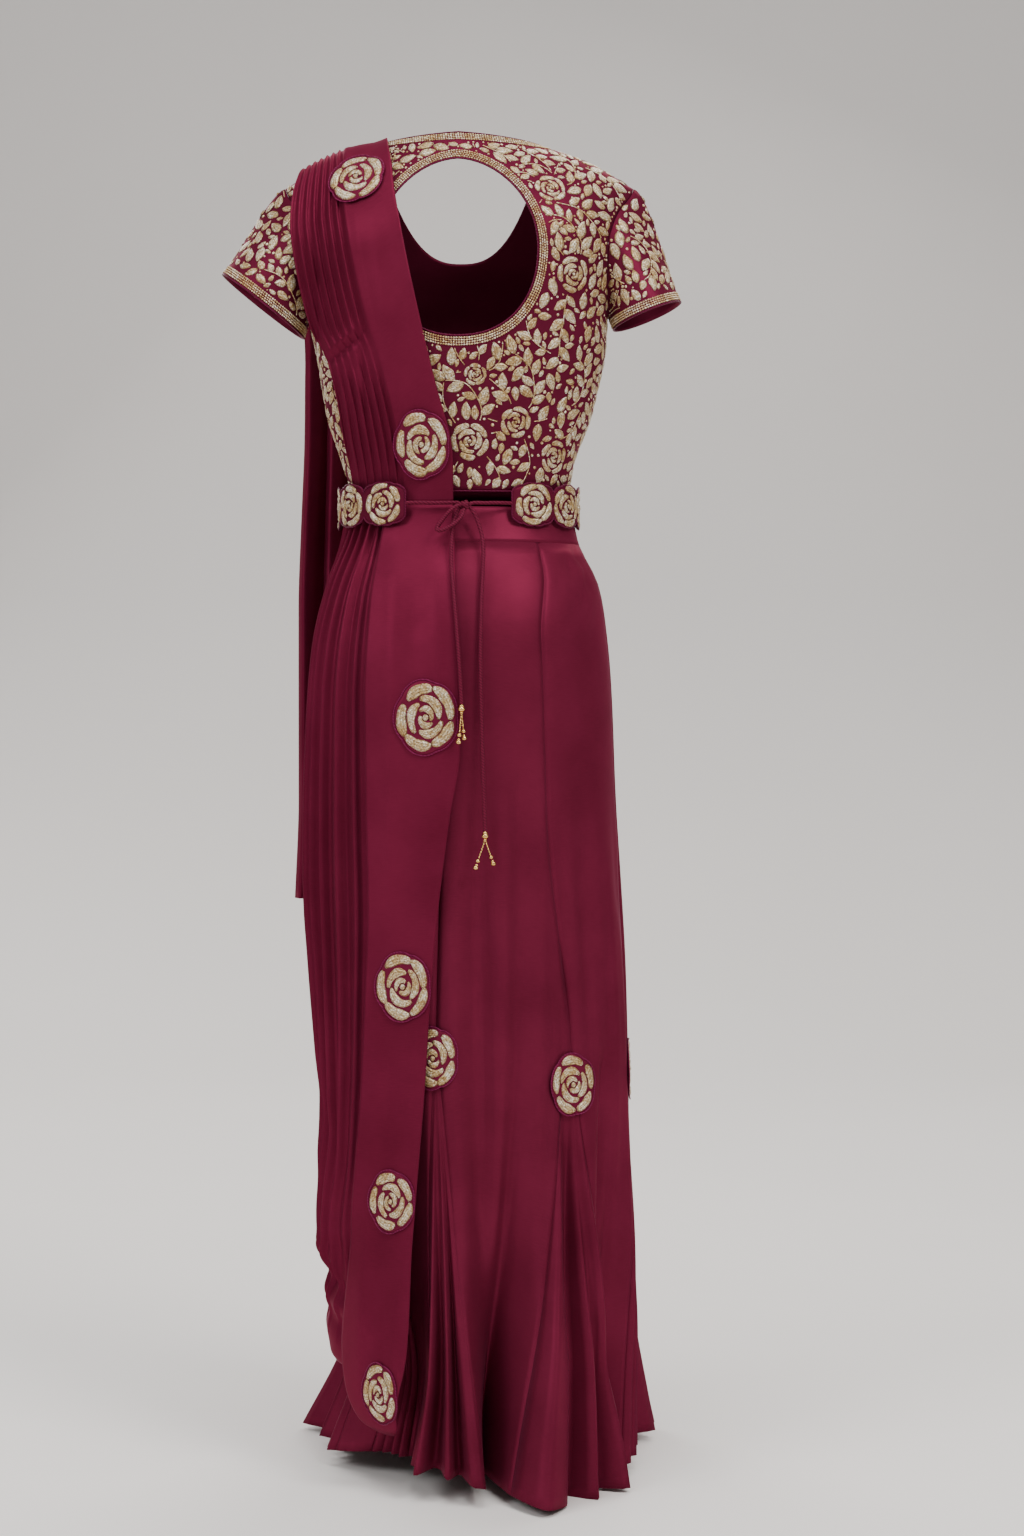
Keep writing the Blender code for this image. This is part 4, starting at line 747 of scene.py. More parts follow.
def front_grid():
    half = top_edge(front=True)
    top = [(-x, h) for x, h in reversed(half[1:])] + half
    count = len(top)
    grid = []
    for row, side_height in enumerate(side_heights()):
        line = []
        for i, (x_top, height_top) in enumerate(top):
            t = mix(-1.0, 1.0, i / (count - 1))
            side = 1 if t > 0 else -1
            if row <= LOWER_ROWS:
                line.append(torso_point(90.0 * t, side_height, True))
                continue
            rise = (row - LOWER_ROWS) / UPPER_ROWS
            height = side_height if abs(t) == 1.0 else mix(ARMPIT, height_top, rise)
            t_top = abs(torso_angle(x_top, height_top)) / edge_angle(height_top, side)
            share = mix(abs(t), t_top, rise)
            line.append(torso_point(side * share * edge_angle(height, side), height, True))
        grid.append(line)
    return grid


def back_grid():
    """The back is a ring of cloth between its outline and the opening. The outline comes with it."""

    def half_outline(side):
        half = [(90.0 * side * i / HEM_COLUMNS, BLOUSE_HEM) for i in range(HEM_COLUMNS)]
        for height in side_heights():
            half.append((edge_angle(height, side) * side, height))
        for x, height in reversed(top_edge(front=False)[:-1]):
            half.append((torso_angle(x * side, height), height))
        return half

    outline = half_outline(1) + list(reversed(half_outline(-1)[1:-1]))
    grid = [[] for _ in range(BLOUSE_RINGS + 1)]
    for angle, height in outline:
        edge = torso_point(angle, height, False)
        x, hole_height = opening_point(math.atan2(edge.x, BACK_OPENING["height"] - height))
        hole_angle = torso_angle(x, hole_height)
        for i, ring in enumerate(grid):
            share = i / BLOUSE_RINGS
            ring.append(torso_point(mix(hole_angle, angle, share), mix(hole_height, height, share), False))
    return grid, outline


def sleeve_grid(name, front, outline, back_edge):
    """A short flared tube from the armhole to its hem, starting at the armpit and going round by the back."""
    spec = SLEEVES[name]
    side = spec["side"]
    column = -1 if side > 0 else 0
    loop = []
    for (angle, height), point in zip(outline, back_edge):
        on_armhole = ARMPIT + CLOSE < height < SHOULDER_TIP[1] + CLOSE
        if on_armhole and abs(angle - side * edge_angle(height, side)) < CLOSE:
            loop.append(point)
    loop.sort(key=lambda point: point.z)
    front_loop = [front[row][column] for row in range(LOWER_ROWS + 1, LOWER_ROWS + UPPER_ROWS)]
    armpit, tip = (Vector((point.x, 0.0, point.z)) for point in (front[LOWER_ROWS][column], loop[-1]))
    loop = [armpit] + loop[:-1] + [tip] + list(reversed(front_loop))
    inner, outer = (world(side * spec[key][0], 0.0, spec[key][1]) for key in ("inner", "outer"))
    centre, reach = (inner + outer) / 2, (outer - inner) / 2
    grid = [[] for _ in range(SLEEVE_RINGS + 1)]
    for i, point in enumerate(loop):
        turn = 2 * math.pi * i / len(loop)
        s, c = math.sin(turn), math.cos(turn)
        # The sleeve leaves the armhole sideways, and a little to the front or back on each side of the arm
        away = Vector((side, SLEEVE_LEANS[0] * s, SLEEVE_LEANS[1] * c)).normalized()
        start = point + away * SEAM_GAP
        end = centre - reach * c + Vector((0.0, spec["half_depth"] * s, 0.0))
        leave = Vector((away.x, away.y * 0.3, away.z * 0.2)) * (end - start).length * 0.35
        for k, ring in enumerate(grid):
            ring.append(hermite(start, end, leave, (end - start) * 0.9, k / SLEEVE_RINGS))
    return grid


def thread_curve(name, paths, radius, sides, closed=False):
    """Round threads or cords along paths of points."""
    curve = bpy.data.curves.new(name, "CURVE")
    curve.dimensions = "3D"
    curve.bevel_depth = radius
    curve.bevel_resolution = sides
    curve.use_fill_caps = not closed
    for path in paths:
        spline = curve.splines.new("POLY")
        spline.points.add(len(path) - 1)
        spline.use_cyclic_u = closed
        for place, point in zip(spline.points, path):
            place.co = (*point, 1.0)
    return curve


def plain_mesh(name, maker, *surfaces):
    """The finished shape of an object as a smooth mesh object, in its stead."""
    view = bpy.context.evaluated_depsgraph_get()
    mesh = bpy.data.meshes.new_from_object(maker.evaluated_get(view), depsgraph=view)
    bpy.data.objects.remove(maker)
    mesh.name = name
    mesh.shade_smooth()
    return linked(name, mesh, *surfaces)


def tubes(name, paths, radius, surface, closed=False, sides=1):
    maker = linked(f"{name}_maker", thread_curve(name, paths, radius, sides, closed))
    return plain_mesh(name, maker, surface)


def cord_surface(name, colour, deep):
    """Twisted silk cord: fine slanting ply lines and a soft gloss."""
    surface, tree, shader, where = new_material(
        name, Roughness=0.48, Specular_IOR_Level=0.18, Specular_Tint=WINE_SHEEN
    )
    slant = add_node(tree, "ShaderNodeMapping", Vector=where["Object"], Rotation=(0.0, 0.6, 0.5))
    ply = add_node(
        tree, "ShaderNodeTexWave", {"bands_direction": "Z"}, Vector=slant.outputs["Vector"], Scale=130.0,
        Distortion=1.5,
    ).outputs["Fac"]
    colours = ramp(tree, ply, ((0.25, deep), (0.80, colour)))
    plug(tree, shader, Base_Color=colours, Normal=bump(tree, ply, 0.5, 0.0004))
    return surface


def bind(name, paths):
    """A thin cord sewn along closed edges."""
    put_on(tubes(name, paths, BINDING_RADIUS, binding_cord, closed=True), "cord")


blouse_crepe = crepe("blouse_crepe", BLOUSE_WINE, BLOUSE_DEEP)
binding_cord = cord_surface("binding_cord", BINDING_WINE, BLOUSE_DEEP)
front_cloth = front_grid()
back_cloth, back_outline = back_grid()
blouse_parts = [
    ("blouse_front", front_cloth, "stretched", "blouse_back"),
    ("blouse_back", back_cloth, "stretched", "blouse_front"),
]
for sleeve in SLEEVES:
    grid = sleeve_grid(sleeve, front_cloth, back_outline, back_cloth[-1])
    blouse_parts.append((sleeve, grid, "hung", "blouse_back"))
blouse_grids = []
for name, grid, held, rests_on in blouse_parts:
    closed = name != "blouse_front"
    points = sheet_piece(
        f"{name}_cloth", grid, blouse_crepe, held, name, closed, slot="embroidered"
    )
    blouse_grids.append((points, closed))
sleeve_hems = [[Vector(p) for p in points[-1]] for points, _ in blouse_grids[2:]]

opening_edge = [Vector(p) for p in back_cloth[0]]
nape_edge = [p for p, (angle, height) in zip(back_cloth[-1], back_outline) if height > NECK_POINT[1] - CLOSE]
nape_edge.sort(key=lambda p: p.x)
scoop_edge = [p for p in front_cloth[-1] if abs(p.x) <= NECK_POINT[0] + CLOSE]
hem_edge = [torso_point(angle, BLOUSE_HEM, False) for angle in range(-90, 91, 3)]
hem_edge += [torso_point(angle, BLOUSE_HEM, True) for angle in range(87, -88, -3)]
neck_edge = nape_edge + list(reversed(scoop_edge))
for name, path in (("opening", opening_edge), ("neck", neck_edge), ("hem", hem_edge)):
    bind(f"{name}_binding", [path])
bind("sleeve_bindings", sleeve_hems)

# Blouse embroidery. Flat gold thread and small beads are worked over the whole blouse in vines, leaves and
# roses, with rows of long beads round the neck, the opening and the sleeve hems. The seams stay bare.
LEAF_LENGTH = 0.0180
LEAF_WIDTH = 0.0098
LEAF_RISE = 0.0010
STEM_RADIUS = 0.00055
STEM_STEP = 0.0050
MOTIF_GAP = 0.0004
# The thread spreads a little past the drawn outline of each leaf
LEAF_SPREAD = 1.13
# How deep the work sinks into the cloth
WORK_SINKS = 0.0001
LOOSE_VINES = 150
VINE_STEPS = 14
# How large the loose leaves are in each pass, and its share of the tries
FILL_PASSES = ((1.00, 0.20), (0.80, 0.20), (0.62, 0.25), (0.45, 0.35))
FILL_TRIES = 45000
BAND_ROWS = (0.0026, 0.0050, 0.0074, 0.0098)
BANDS_KEEP = (0.002, 0.006, 0.0100)
BANDS_KEEP_WIDTH = 0.0021
PRINCESS_TOP = 1.215
PRINCESS_ANGLES = (38.0, 52.0)
PRINCESS_BEND = 1.05
PRINCESS_BEND_OVER = 0.17
# Half of the width that stays bare along the princess seams, the armhole seams and the hem
BARE_WIDTHS = (0.0007, 0.0008, 0.0012)
VINE_BEND = 0.22
LEAF_ANGLES = (0.62, 0.90)
# The discs that a leaf takes up: their places along it, and their radii for a width of 1
LEAF_SPOTS = (0.18, 0.40, 0.62, 0.84)
LEAF_SPOT_RADII = (0.34, 0.48, 0.46, 0.28)
# The gaps of leaves, stems and sequins, as shares of the roses' gap
LEAF_GAP = 0.55
STEM_GAP = 0.5
SEQUIN_GAP = 0.4
SEQUIN_RADII = (0.0010, 0.0020)
SEQUIN_RISE = 0.0007
BAND_BEAD_STEP = 0.0027
BAND_BEAD_SIZE = (0.00135, 0.00105, 0.0008)
SURFACE_LIMIT = 0.0012
GOLD_THREAD = (0.500, 0.345, 0.165, 1.0)
GOLD_PALE = (0.700, 0.545, 0.320, 1.0)
GOLD_GLINT = (0.950, 0.900, 0.780, 1.0)
GOLD_SHADE = (0.300, 0.180, 0.085, 1.0)
GOLD_AGED = (0.800, 0.680, 0.480, 1.0)
# Roses of the blouse's back: distance from the middle to the wearer's left, height and radius
BACK_ROSES = (
    (-0.0960, 1.3520, 0.0175),
    (-0.1200, 1.2620, 0.0195),
    (-0.1110, 1.1930, 0.0190),
    (-0.0120, 1.0880, 0.0210),
    (-0.0600, 1.1080, 0.0170),
    (-0.1000, 1.0740, 0.0180),
    (-0.0180, 1.1560, 0.0120),
    (0.0900, 1.1500, 0.0190),
    (0.1050, 1.2500, 0.0180),
)
# Roses of its front, the same on both sides
FRONT_ROSE = (0.0000, 1.2300, 0.0210)
FRONT_ROSE_PAIRS = (
    (0.0650, 1.2050, 0.0190),
    (0.1080, 1.2650, 0.0180),
    (0.1180, 1.3420, 0.0170),
    (0.0350, 1.1150, 0.0200),
    (0.0950, 1.1100, 0.0180),
)
# Rose petals, for a rose of radius 1: middle of the petal's ring, half-width, first and last angle, twist out
ROSE_PETALS = (
    (0.215, 0.106, 12.0, 178.0, 0.09),
    (0.220, 0.102, 190.0, 350.0, 0.09),
    (0.475, 0.148, 330.0, 447.0, 0.12),
    (0.485, 0.140, 92.0, 203.0, 0.11),
    (0.475, 0.148, 209.0, 325.0, 0.12),
    (0.805, 0.180, 2.0, 67.0, 0.06),
    (0.815, 0.170, 71.0, 140.0, -0.05),
    (0.795, 0.182, 144.0, 207.0, 0.07),
    (0.815, 0.170, 211.0, 284.0, 0.06),
    (0.805, 0.180, 288.0, 358.0, -0.05),
)
ROSE_BEAD = 0.100
LAID_SEED = 7
# The rows of thread across a petal, as the turns of a wave
ROW_TURNS = 25.0
PETAL_LONG = 12
ROUTE_STEPS = 12
PETAL_WIDE = 6


def sums(tree, operation, *values):
    return add_node(tree, "ShaderNodeMath", {"operation": operation}, values).outputs["Value"]


def zari(name, in_rows):
    """Gold thread and small beads in tones of gold that differ at random, with painted shade on the darkest
    and painted glints on the brightest, laid in close rows along a petal or one by one.
    """
    surface, tree, shader, where = new_material(name, Roughness=0.34, Metallic=0.30, Specular_IOR_Level=0.45)
    beads = add_node(tree, "ShaderNodeTexVoronoi", Vector=where["Object"], Scale=820.0)
    tone = add_node(tree, "ShaderNodeSeparateColor", Color=beads.outputs["Color"])
    # Each tiny cell takes a random tone: painted shade, two golds, or a painted glint on the brightest few
    stops = ((0.00, GOLD_SHADE), (0.22, GOLD_THREAD), (0.62, GOLD_PALE), (0.93, GOLD_GLINT))
    colour = ramp(tree, tone.outputs["Red"], stops)
    if in_rows:
        down = add_node(tree, "ShaderNodeSeparateXYZ", Vector=where["UV"]).outputs["Y"]
        turns = sums(tree, "MULTIPLY", down, ROW_TURNS)
        between = ramp(tree, sums(tree, "SINE", turns), ((0.0, (0.0, 0.0, 0.0, 1.0)), (0.35, WHITE)))
        colour = blend(tree, "MULTIPLY", 0.35, colour, between)
    tint = ramp(tree, noise(tree, where["Object"], 70.0, 1.0), ((0.38, GOLD_AGED), (0.60, WHITE)))
    relief = bump(tree, beads.outputs["Distance"], 0.55, 0.0006, invert=True)
    plug(tree, shader, Base_Color=blend(tree, "MULTIPLY", 1.0, colour, tint), Normal=relief)
    return surface


def domed_patch(centre_line, half_widths, rise, place):
    """Points, faces and UVs of a raised petal along a line. place(u, v, up) puts it on the cloth."""
    long, wide = len(centre_line), PETAL_WIDE + 1
    vertices, flat = [], []
    for k, ((x, y), half) in enumerate(zip(centre_line, half_widths)):
        before, after = centre_line[max(k - 1, 0)], centre_line[min(k + 1, long - 1)]
        dx, dy = after[0] - before[0], after[1] - before[1]
        size = math.hypot(dx, dy)
        for j in range(wide):
            v = 2 * j / (wide - 1) - 1
            up = rise * math.sqrt(max(1 - v * v, 0.0)) * min(half / max(half_widths), 1.0) ** 0.5
            vertices.append(place(x - dy / size * v * half, y + dx / size * v * half, up))
            flat.append((k / (long - 1), j / (wide - 1)))
    corners = [k * wide + j for k in range(long - 1) for j in range(wide - 1)]
    return vertices, [(a, a + wide, a + wide + 1, a + 1) for a in corners], flat


def joined_petals(name, patches, surface):
    """One mesh of many petals, each closed underneath by its own outline."""
    vertices, faces, flat = [], [], []
    wide = PETAL_WIDE + 1
    for points, quads, places in patches:
        first, long = len(vertices), len(points) // wide
        vertices += [tuple(p) for p in points]
        flat += places
        # The petal's middle row tells which way its faces look
        row = wide * (long // 2)
        a, b, c = (Vector(points[row + k]) for k in (2, wide + 2, 3))
        left, right, top = (Vector(points[row + k]) for k in (0, wide - 1, wide // 2))
        turn = 1 if (b - a).cross(c - a).dot(top - (left + right) / 2) > 0 else -1
        rim = [*range(wide), *range(2 * wide - 1, long * wide, wide)]
        rim += [*range(long * wide - 2, (long - 1) * wide - 1, -1), *range((long - 2) * wide, 0, -wide)]
        faces += [tuple(first + k for k in face[::turn]) for face in (*quads, rim)]
    return new_piece(name, vertices, faces, surface, flat)


def rose_patches(radius, turn, place, rise, rng):
    """A rose: two curled inner petals round a bead, three middle petals and five outer ones."""
    patches = []
    for petal_ring, half_width, first, last, twist in ROSE_PETALS:
        start = math.radians(first + turn + rng.uniform(-5, 5))
        end = math.radians(last + turn + rng.uniform(-5, 5))
        ring = petal_ring * rng.uniform(0.97, 1.03)
        line, halves = [], []
        for k in range(PETAL_LONG + 1):
            u = k / PETAL_LONG
            angle = mix(start, end, u)
            reach = radius * (ring + twist * (u - 0.5))
            line.append((reach * math.cos(angle), reach * math.sin(angle)))
            wobble = 1 + 0.10 * math.sin(3 * math.pi * u + petal_ring * 9)
            full = max(math.sin(math.pi * (0.04 + 0.92 * u)), 0.0) ** 0.5
            halves.append(radius * half_width * full * wobble)
        patches.append(domed_patch(line, halves, rise, place))
    spots = [2 * k / 4 - 1 for k in range(5)]
    line = [(radius * ROSE_BEAD * spot, 0.0) for spot in spots]
    halves = [radius * ROSE_BEAD * max(1 - spot**2, 0.10) ** 0.5 for spot in spots]
    patches.append(domed_patch(line, halves, rise * 1.3, place))
    return patches


def outer_tree(*grids):
    """The outer faces of some panels, for laying things on them."""
    vertices, faces = [], []
    for points, closed in grids:
        faces += (outer_quads(points, closed)[0] + len(vertices)).tolist()
        vertices += points.reshape(-1, 3).tolist()
    return BVHTree.FromPolygons(vertices, faces)


def level_axes(normal):
    """The level direction across a surface with this normal, and the one up along it."""
    across = Vector((0.0, 0.0, 1.0)).cross(normal).normalized()
    return across, normal.cross(across)


def on_surface(tree, centre, across, along):
    """A way of putting flat places near a point onto the surface below them, as place(u, v, up)."""

    def place(u, v, up):
        hit, normal, _, _ = tree.find_nearest(centre + across * u + along * v)
        return hit + normal * (up - WORK_SINKS)

    return place


def laid_pieces_tree():
    """Lays one piece on every point of a mesh, turned along "ahead" and standing on "out", as plain mesh."""
    tree = bpy.data.node_groups.new("laid_pieces", "GeometryNodeTree")
    kinds = {
        "Places": "Geometry", "Piece": "Object", "Thread": "Material", "Unevenness": "Float", "Seed": "Int",
    }
    for name, kind in kinds.items():
        tree.interface.new_socket(name, in_out="INPUT", socket_type=f"NodeSocket{kind}")
    tree.interface.new_socket("Pieces", in_out="OUTPUT", socket_type="NodeSocketGeometry")
    given = tree.nodes.new("NodeGroupInput").outputs

    def attribute(name):
        node = add_node(tree, "GeometryNodeInputNamedAttribute", {"data_type": "FLOAT_VECTOR"}, Name=name)
        return node.outputs["Attribute"]

    def aligned(axis, vector, **rotation):
        kind = "FunctionNodeAlignRotationToVector"
        settings = {"axis": axis, "pivot_axis": "X" if rotation else "AUTO"}
        return add_node(tree, kind, settings, Vector=vector, **rotation).outputs["Rotation"]

    turned = aligned("Z", attribute("out"), Rotation=aligned("X", attribute("ahead")))
    varied = add_node(tree, "FunctionNodeRandomValue", {"data_type": "FLOAT"}, Seed=given["Seed"])
    limits = [socket for socket in varied.inputs if socket.type == "VALUE"]
    for limit, operation in zip(limits, ("SUBTRACT", "ADD")):
        tree.links.new(sums(tree, operation, 1.0, given["Unevenness"]), limit)
    factor = next(socket for socket in varied.outputs if socket.type == "VALUE" and socket.enabled)
    size = add_node(
        tree, "ShaderNodeVectorMath", {"operation": "SCALE"}, Vector=attribute("size"), Scale=factor
    ).outputs["Vector"]
    piece = add_node(tree, "GeometryNodeObjectInfo", Object=given["Piece"]).outputs["Geometry"]
    points = add_node(tree, "GeometryNodeMeshToPoints", Mesh=given["Places"]).outputs["Points"]
    laid = add_node(
        tree, "GeometryNodeInstanceOnPoints", Points=points, Instance=piece, Rotation=turned, Scale=size
    ).outputs["Instances"]
    real = add_node(tree, "GeometryNodeRealizeInstances", Geometry=laid).outputs["Geometry"]
    painted = add_node(tree, "GeometryNodeSetMaterial", Geometry=real, Material=given["Thread"])
    add_node(tree, "NodeGroupOutput", Pieces=painted.outputs["Geometry"])
    return tree


laid_pieces = laid_pieces_tree()


def lay(name, piece, places, surface, unevenness):
    """Lays copies of a piece at places of (point, ahead, out, size) and joins them as one mesh."""
    mesh = bpy.data.meshes.new(f"{name}_places")
    mesh.from_pydata([tuple(row[0]) for row in places], [], [])
    for k, key in enumerate(("ahead", "out", "size"), 1):
        layer = mesh.attributes.new(key, "FLOAT_VECTOR", "POINT")
        values = np.array([tuple(row[k]) for row in places], dtype=np.float32)
        layer.data.foreach_set("vector", values.ravel())
    maker = linked(f"{name}_maker", mesh)
    modifier = maker.modifiers.new("laid", "NODES")
    modifier.node_group = laid_pieces
    given = {"Piece": piece, "Thread": surface, "Unevenness": unevenness, "Seed": LAID_SEED}
    for item in laid_pieces.interface.items_tree:
        if item.name in given:
            modifier[item.identifier] = given[item.name]
    return plain_mesh(name, maker)


def from_bmesh(name, bm, *surfaces):
    """A smooth mesh object from a bmesh."""
    mesh = bpy.data.meshes.new(name)
    bm.to_mesh(mesh)
    bm.free()
    mesh.shade_smooth()
    return linked(name, mesh, *surfaces)


def long_bead(name):
    """A bead of radius 1 with few faces, to be laid in rows."""
    bm = bmesh.new()
    bmesh.ops.create_uvsphere(bm, u_segments=6, v_segments=4, radius=1.0)
    return from_bmesh(name, bm)


def leaf_piece(name, bend, surface):
    """A pointed leaf of length 1 and width 1, raised along its middle, with its tip ahead."""
    line, halves = [], []
    for k in range(7):
        u = k / 6
        line.append((u - 0.5, bend * math.sin(math.pi * u)))
        halves.append(0.5 * max(math.sin(math.pi * (0.05 + 0.93 * u ** 0.85)), 0.03) ** 0.85)
    patch = domed_patch(line, halves, 1.0, lambda u, v, up: Vector((u, v, up)))
    return joined_petals(name, [patch], surface)


def smooth_route(points, spacing):
    """Evenly spaced points of a smooth curve through a route's own points."""
    padded = [points[0] * 2 - points[1]] + points + [points[-1] * 2 - points[-2]]
    fine = []
    for a, b, c, d in zip(padded, padded[1:], padded[2:], padded[3:]):
        for i in range(ROUTE_STEPS):
            t = i / ROUTE_STEPS
            lower = 2 * b + (c - a) * t + (2 * a - 5 * b + 4 * c - d) * t**2
            fine.append(0.5 * (lower + (3 * b - a - 3 * c + d) * t**3))
    fine.append(points[-1])
    length = sum((q - p).length for p, q in zip(fine, fine[1:]))
    count = max(int(length / spacing), 4)
    result, walked, k = [], 0.0, 0
    for i in range(count + 1):
        target = length * i / count
        while k < len(fine) - 2 and walked + (fine[k + 1] - fine[k]).length < target:
            walked += (fine[k + 1] - fine[k]).length
            k += 1
        step = (fine[k + 1] - fine[k]).length
        result.append(fine[k].lerp(fine[k + 1], min((target - walked) / step, 1.0)))
    return result


gold_zari = zari("gold_zari", True)
gold_beads = zari("gold_beads", False)
blouse_tree = outer_tree(*blouse_grids)
rng = random.Random(41)
taken = np.zeros((60000, 4))
taken_count = 0


def take(points, radii):
    global taken_count
    for point, radius in zip(points, radii):
        taken[taken_count] = (*point, radius)
        taken_count += 1


def take_line(points, radius):
    take(points, [radius] * len(points))


def cloth_at(point):
    """The nearest place of the blouse, with its normal and distance."""
    hit, normal, _, away = blouse_tree.find_nearest(point)
    return hit, normal, away


def is_free(points, radii, gap, count=None):
    """True if discs at these points are clear of the work done so far and lie on the blouse."""
    if any(cloth_at(Vector(point))[2] > SURFACE_LIMIT for point in points):
        return False
    done = taken[: taken_count if count is None else count]
    for point, radius in zip(points, radii):
        apart = np.linalg.norm(done[:, :3] - np.array(point), axis=1)
        if np.any(apart < done[:, 3] + radius + gap):
            return False
    return True


def edge_row(edge, distance):
    """The points of the blouse at a distance inside one of its closed edges."""
    row = []
    for i, point in enumerate(edge):
        ahead = (edge[(i + 1) % len(edge)] - edge[i - 1]).normalized()
        inward = cloth_at(point)[1].cross(ahead).normalized()
        sides = [cloth_at(point + inward * distance * sign)[0] for sign in (1, -1)]
        row.append(max(sides, key=lambda hit: (hit - point).length))
    return row


def bead_places(rows, step, size):
    """Beads at an even step along closed rows of points on the blouse."""
    places = []
    for row in rows:
        spaced = smooth_route(row + row[:1], step)
        for a, b in zip(spaced, spaced[1:]):
            hit, normal, _ = cloth_at((a + b) / 2)
            places.append((hit + normal * size[2] * 0.4, (b - a).normalized(), normal, size))
    return places


blouse_edges = [opening_edge, neck_edge] + sleeve_hems
band_rows = [edge_row(edge, distance) for edge in blouse_edges for distance in BAND_ROWS]
bead = long_bead("bead_pattern")
band_beads = bead_places(band_rows, BAND_BEAD_STEP, BAND_BEAD_SIZE)
put_on(lay("blouse_bands", bead, band_beads, gold_beads, 0.12), "gold")
for edge in blouse_edges:
    for distance in BANDS_KEEP:
        take_line(smooth_route(edge_row(edge, distance), 0.004), BANDS_KEEP_WIDTH)

# The princess seams, the armhole seams and the hem stay bare of thread
quarters = [(side, front) for side in (-1, 1) for front in (False, True)]
seam_heights = [mix(BLOUSE_HEM, PRINCESS_TOP, i / 59) for i in range(60)]
armhole_heights = [mix(ARMPIT, SHOULDER_TIP[1], i / 50) for i in range(51)]
for side, front in quarters:
    angles = [mix(*PRINCESS_ANGLES, ease((h - PRINCESS_BEND) / PRINCESS_BEND_OVER)) for h in seam_heights]
    seam = [torso_point(side * angle, h, front) for angle, h in zip(angles, seam_heights)]
    take_line(seam, BARE_WIDTHS[0])
for side, front in quarters:
    take_line([torso_point(side * edge_angle(h, side), h, front) for h in armhole_heights], BARE_WIDTHS[1])
take_line(smooth_route(hem_edge, 0.003), BARE_WIDTHS[2])

rose_work, vine_starts = [], []
front_roses = [FRONT_ROSE] + [(side * x, h, radius) for x, h, radius in FRONT_ROSE_PAIRS for side in (-1, 1)]
for front, (x, height, radius) in [(False, row) for row in BACK_ROSES] + [(True, row) for row in front_roses]:
    centre, normal, _ = cloth_at(torso_point(torso_angle(x, height), height, front))
    across, along = level_axes(normal)
    if not is_free([centre], [radius * 0.9], MOTIF_GAP):
        continue
    place = on_surface(blouse_tree, centre, across, along)
    rose_work += rose_patches(radius, rng.uniform(0, 360), place, LEAF_RISE * 1.2, rng)
    take([centre], [radius])
    for i in range(6):
        turn = math.radians(60 * i + rng.uniform(-20, 20))
        heading = across * math.cos(turn) + along * math.sin(turn)
        vine_starts.append((centre + heading * (radius + 0.003), heading))
put_on(joined_petals("blouse_roses", rose_work, gold_zari), "embroidered")


def random_place():
    """A random point of the blouse's cloth, with a random heading on it."""
    points = blouse_grids[rng.choices(range(4), (5, 5, 1, 1))[0]][0]
    r, c = rng.randrange(points.shape[0]), rng.randrange(points.shape[1])
    hit, normal, _ = cloth_at(Vector(points[r, c]))
    turn = rng.uniform(0, 2 * math.pi)
    across = normal.orthogonal().normalized()
    return hit, across * math.cos(turn) + normal.cross(across) * math.sin(turn)


def turned_heading(heading, normal, angle):
    flat = (heading - normal * heading.dot(normal)).normalized()
    return flat * math.cos(angle) + normal.cross(flat) * math.sin(angle)


def try_leaf(base, heading, sizes, leaves):
    """Lays the largest of some leaves that has room, with its foot at base."""
    for length, width in sizes:
        spots = [base + heading * length * u for u in LEAF_SPOTS]
        radii = [width * f for f in LEAF_SPOT_RADII]
        if is_free(spots, radii, MOTIF_GAP * LEAF_GAP):
            hit, normal, _ = cloth_at(base + heading * length * 0.5)
            ahead = (heading - normal * heading.dot(normal)).normalized()
            size = (length * 1.02, width * LEAF_SPREAD, LEAF_RISE)
            leaves.append((hit - normal * WORK_SINKS, ahead, normal, size))
            take(spots, radii)
            return


def leaf_sizes(most):
    scale = rng.uniform(0.85, 1.15) * most
    return [(LEAF_LENGTH * scale * s, LEAF_WIDTH * scale * (0.5 + 0.5 * s)) for s in (1.0, 0.82, 0.66)]


leaves, stems, sequins = [], [], []
vine_starts += [random_place() for _ in range(LOOSE_VINES)]
for start, heading in vine_starts:
    before = taken_count
    at, path = start, []
    bend = rng.uniform(-VINE_BEND, VINE_BEND)
    side = rng.choice((-1, 1))
    for step in range(VINE_STEPS):
        hit, normal, away = cloth_at(at)
        if away > SURFACE_LIMIT or not is_free([hit], [STEM_RADIUS], MOTIF_GAP * STEM_GAP, before):
            break
        heading = turned_heading(heading, normal, bend + 0.10 * math.sin(step * 0.9))
        path.append(hit + normal * STEM_RADIUS * 0.6)
        if step % 2 == 1:
            for each in (side, -side):
                aim = turned_heading(heading, normal, each * rng.uniform(*LEAF_ANGLES))
                try_leaf(hit + aim * 0.0012, aim, leaf_sizes(0.95), leaves)
        at = hit + heading * STEM_STEP
    if len(path) >= 2:
        stems.append(path)
        take_line(path, STEM_RADIUS)
        try_leaf(path[-1] + heading * 0.001, heading, leaf_sizes(1.05), leaves)
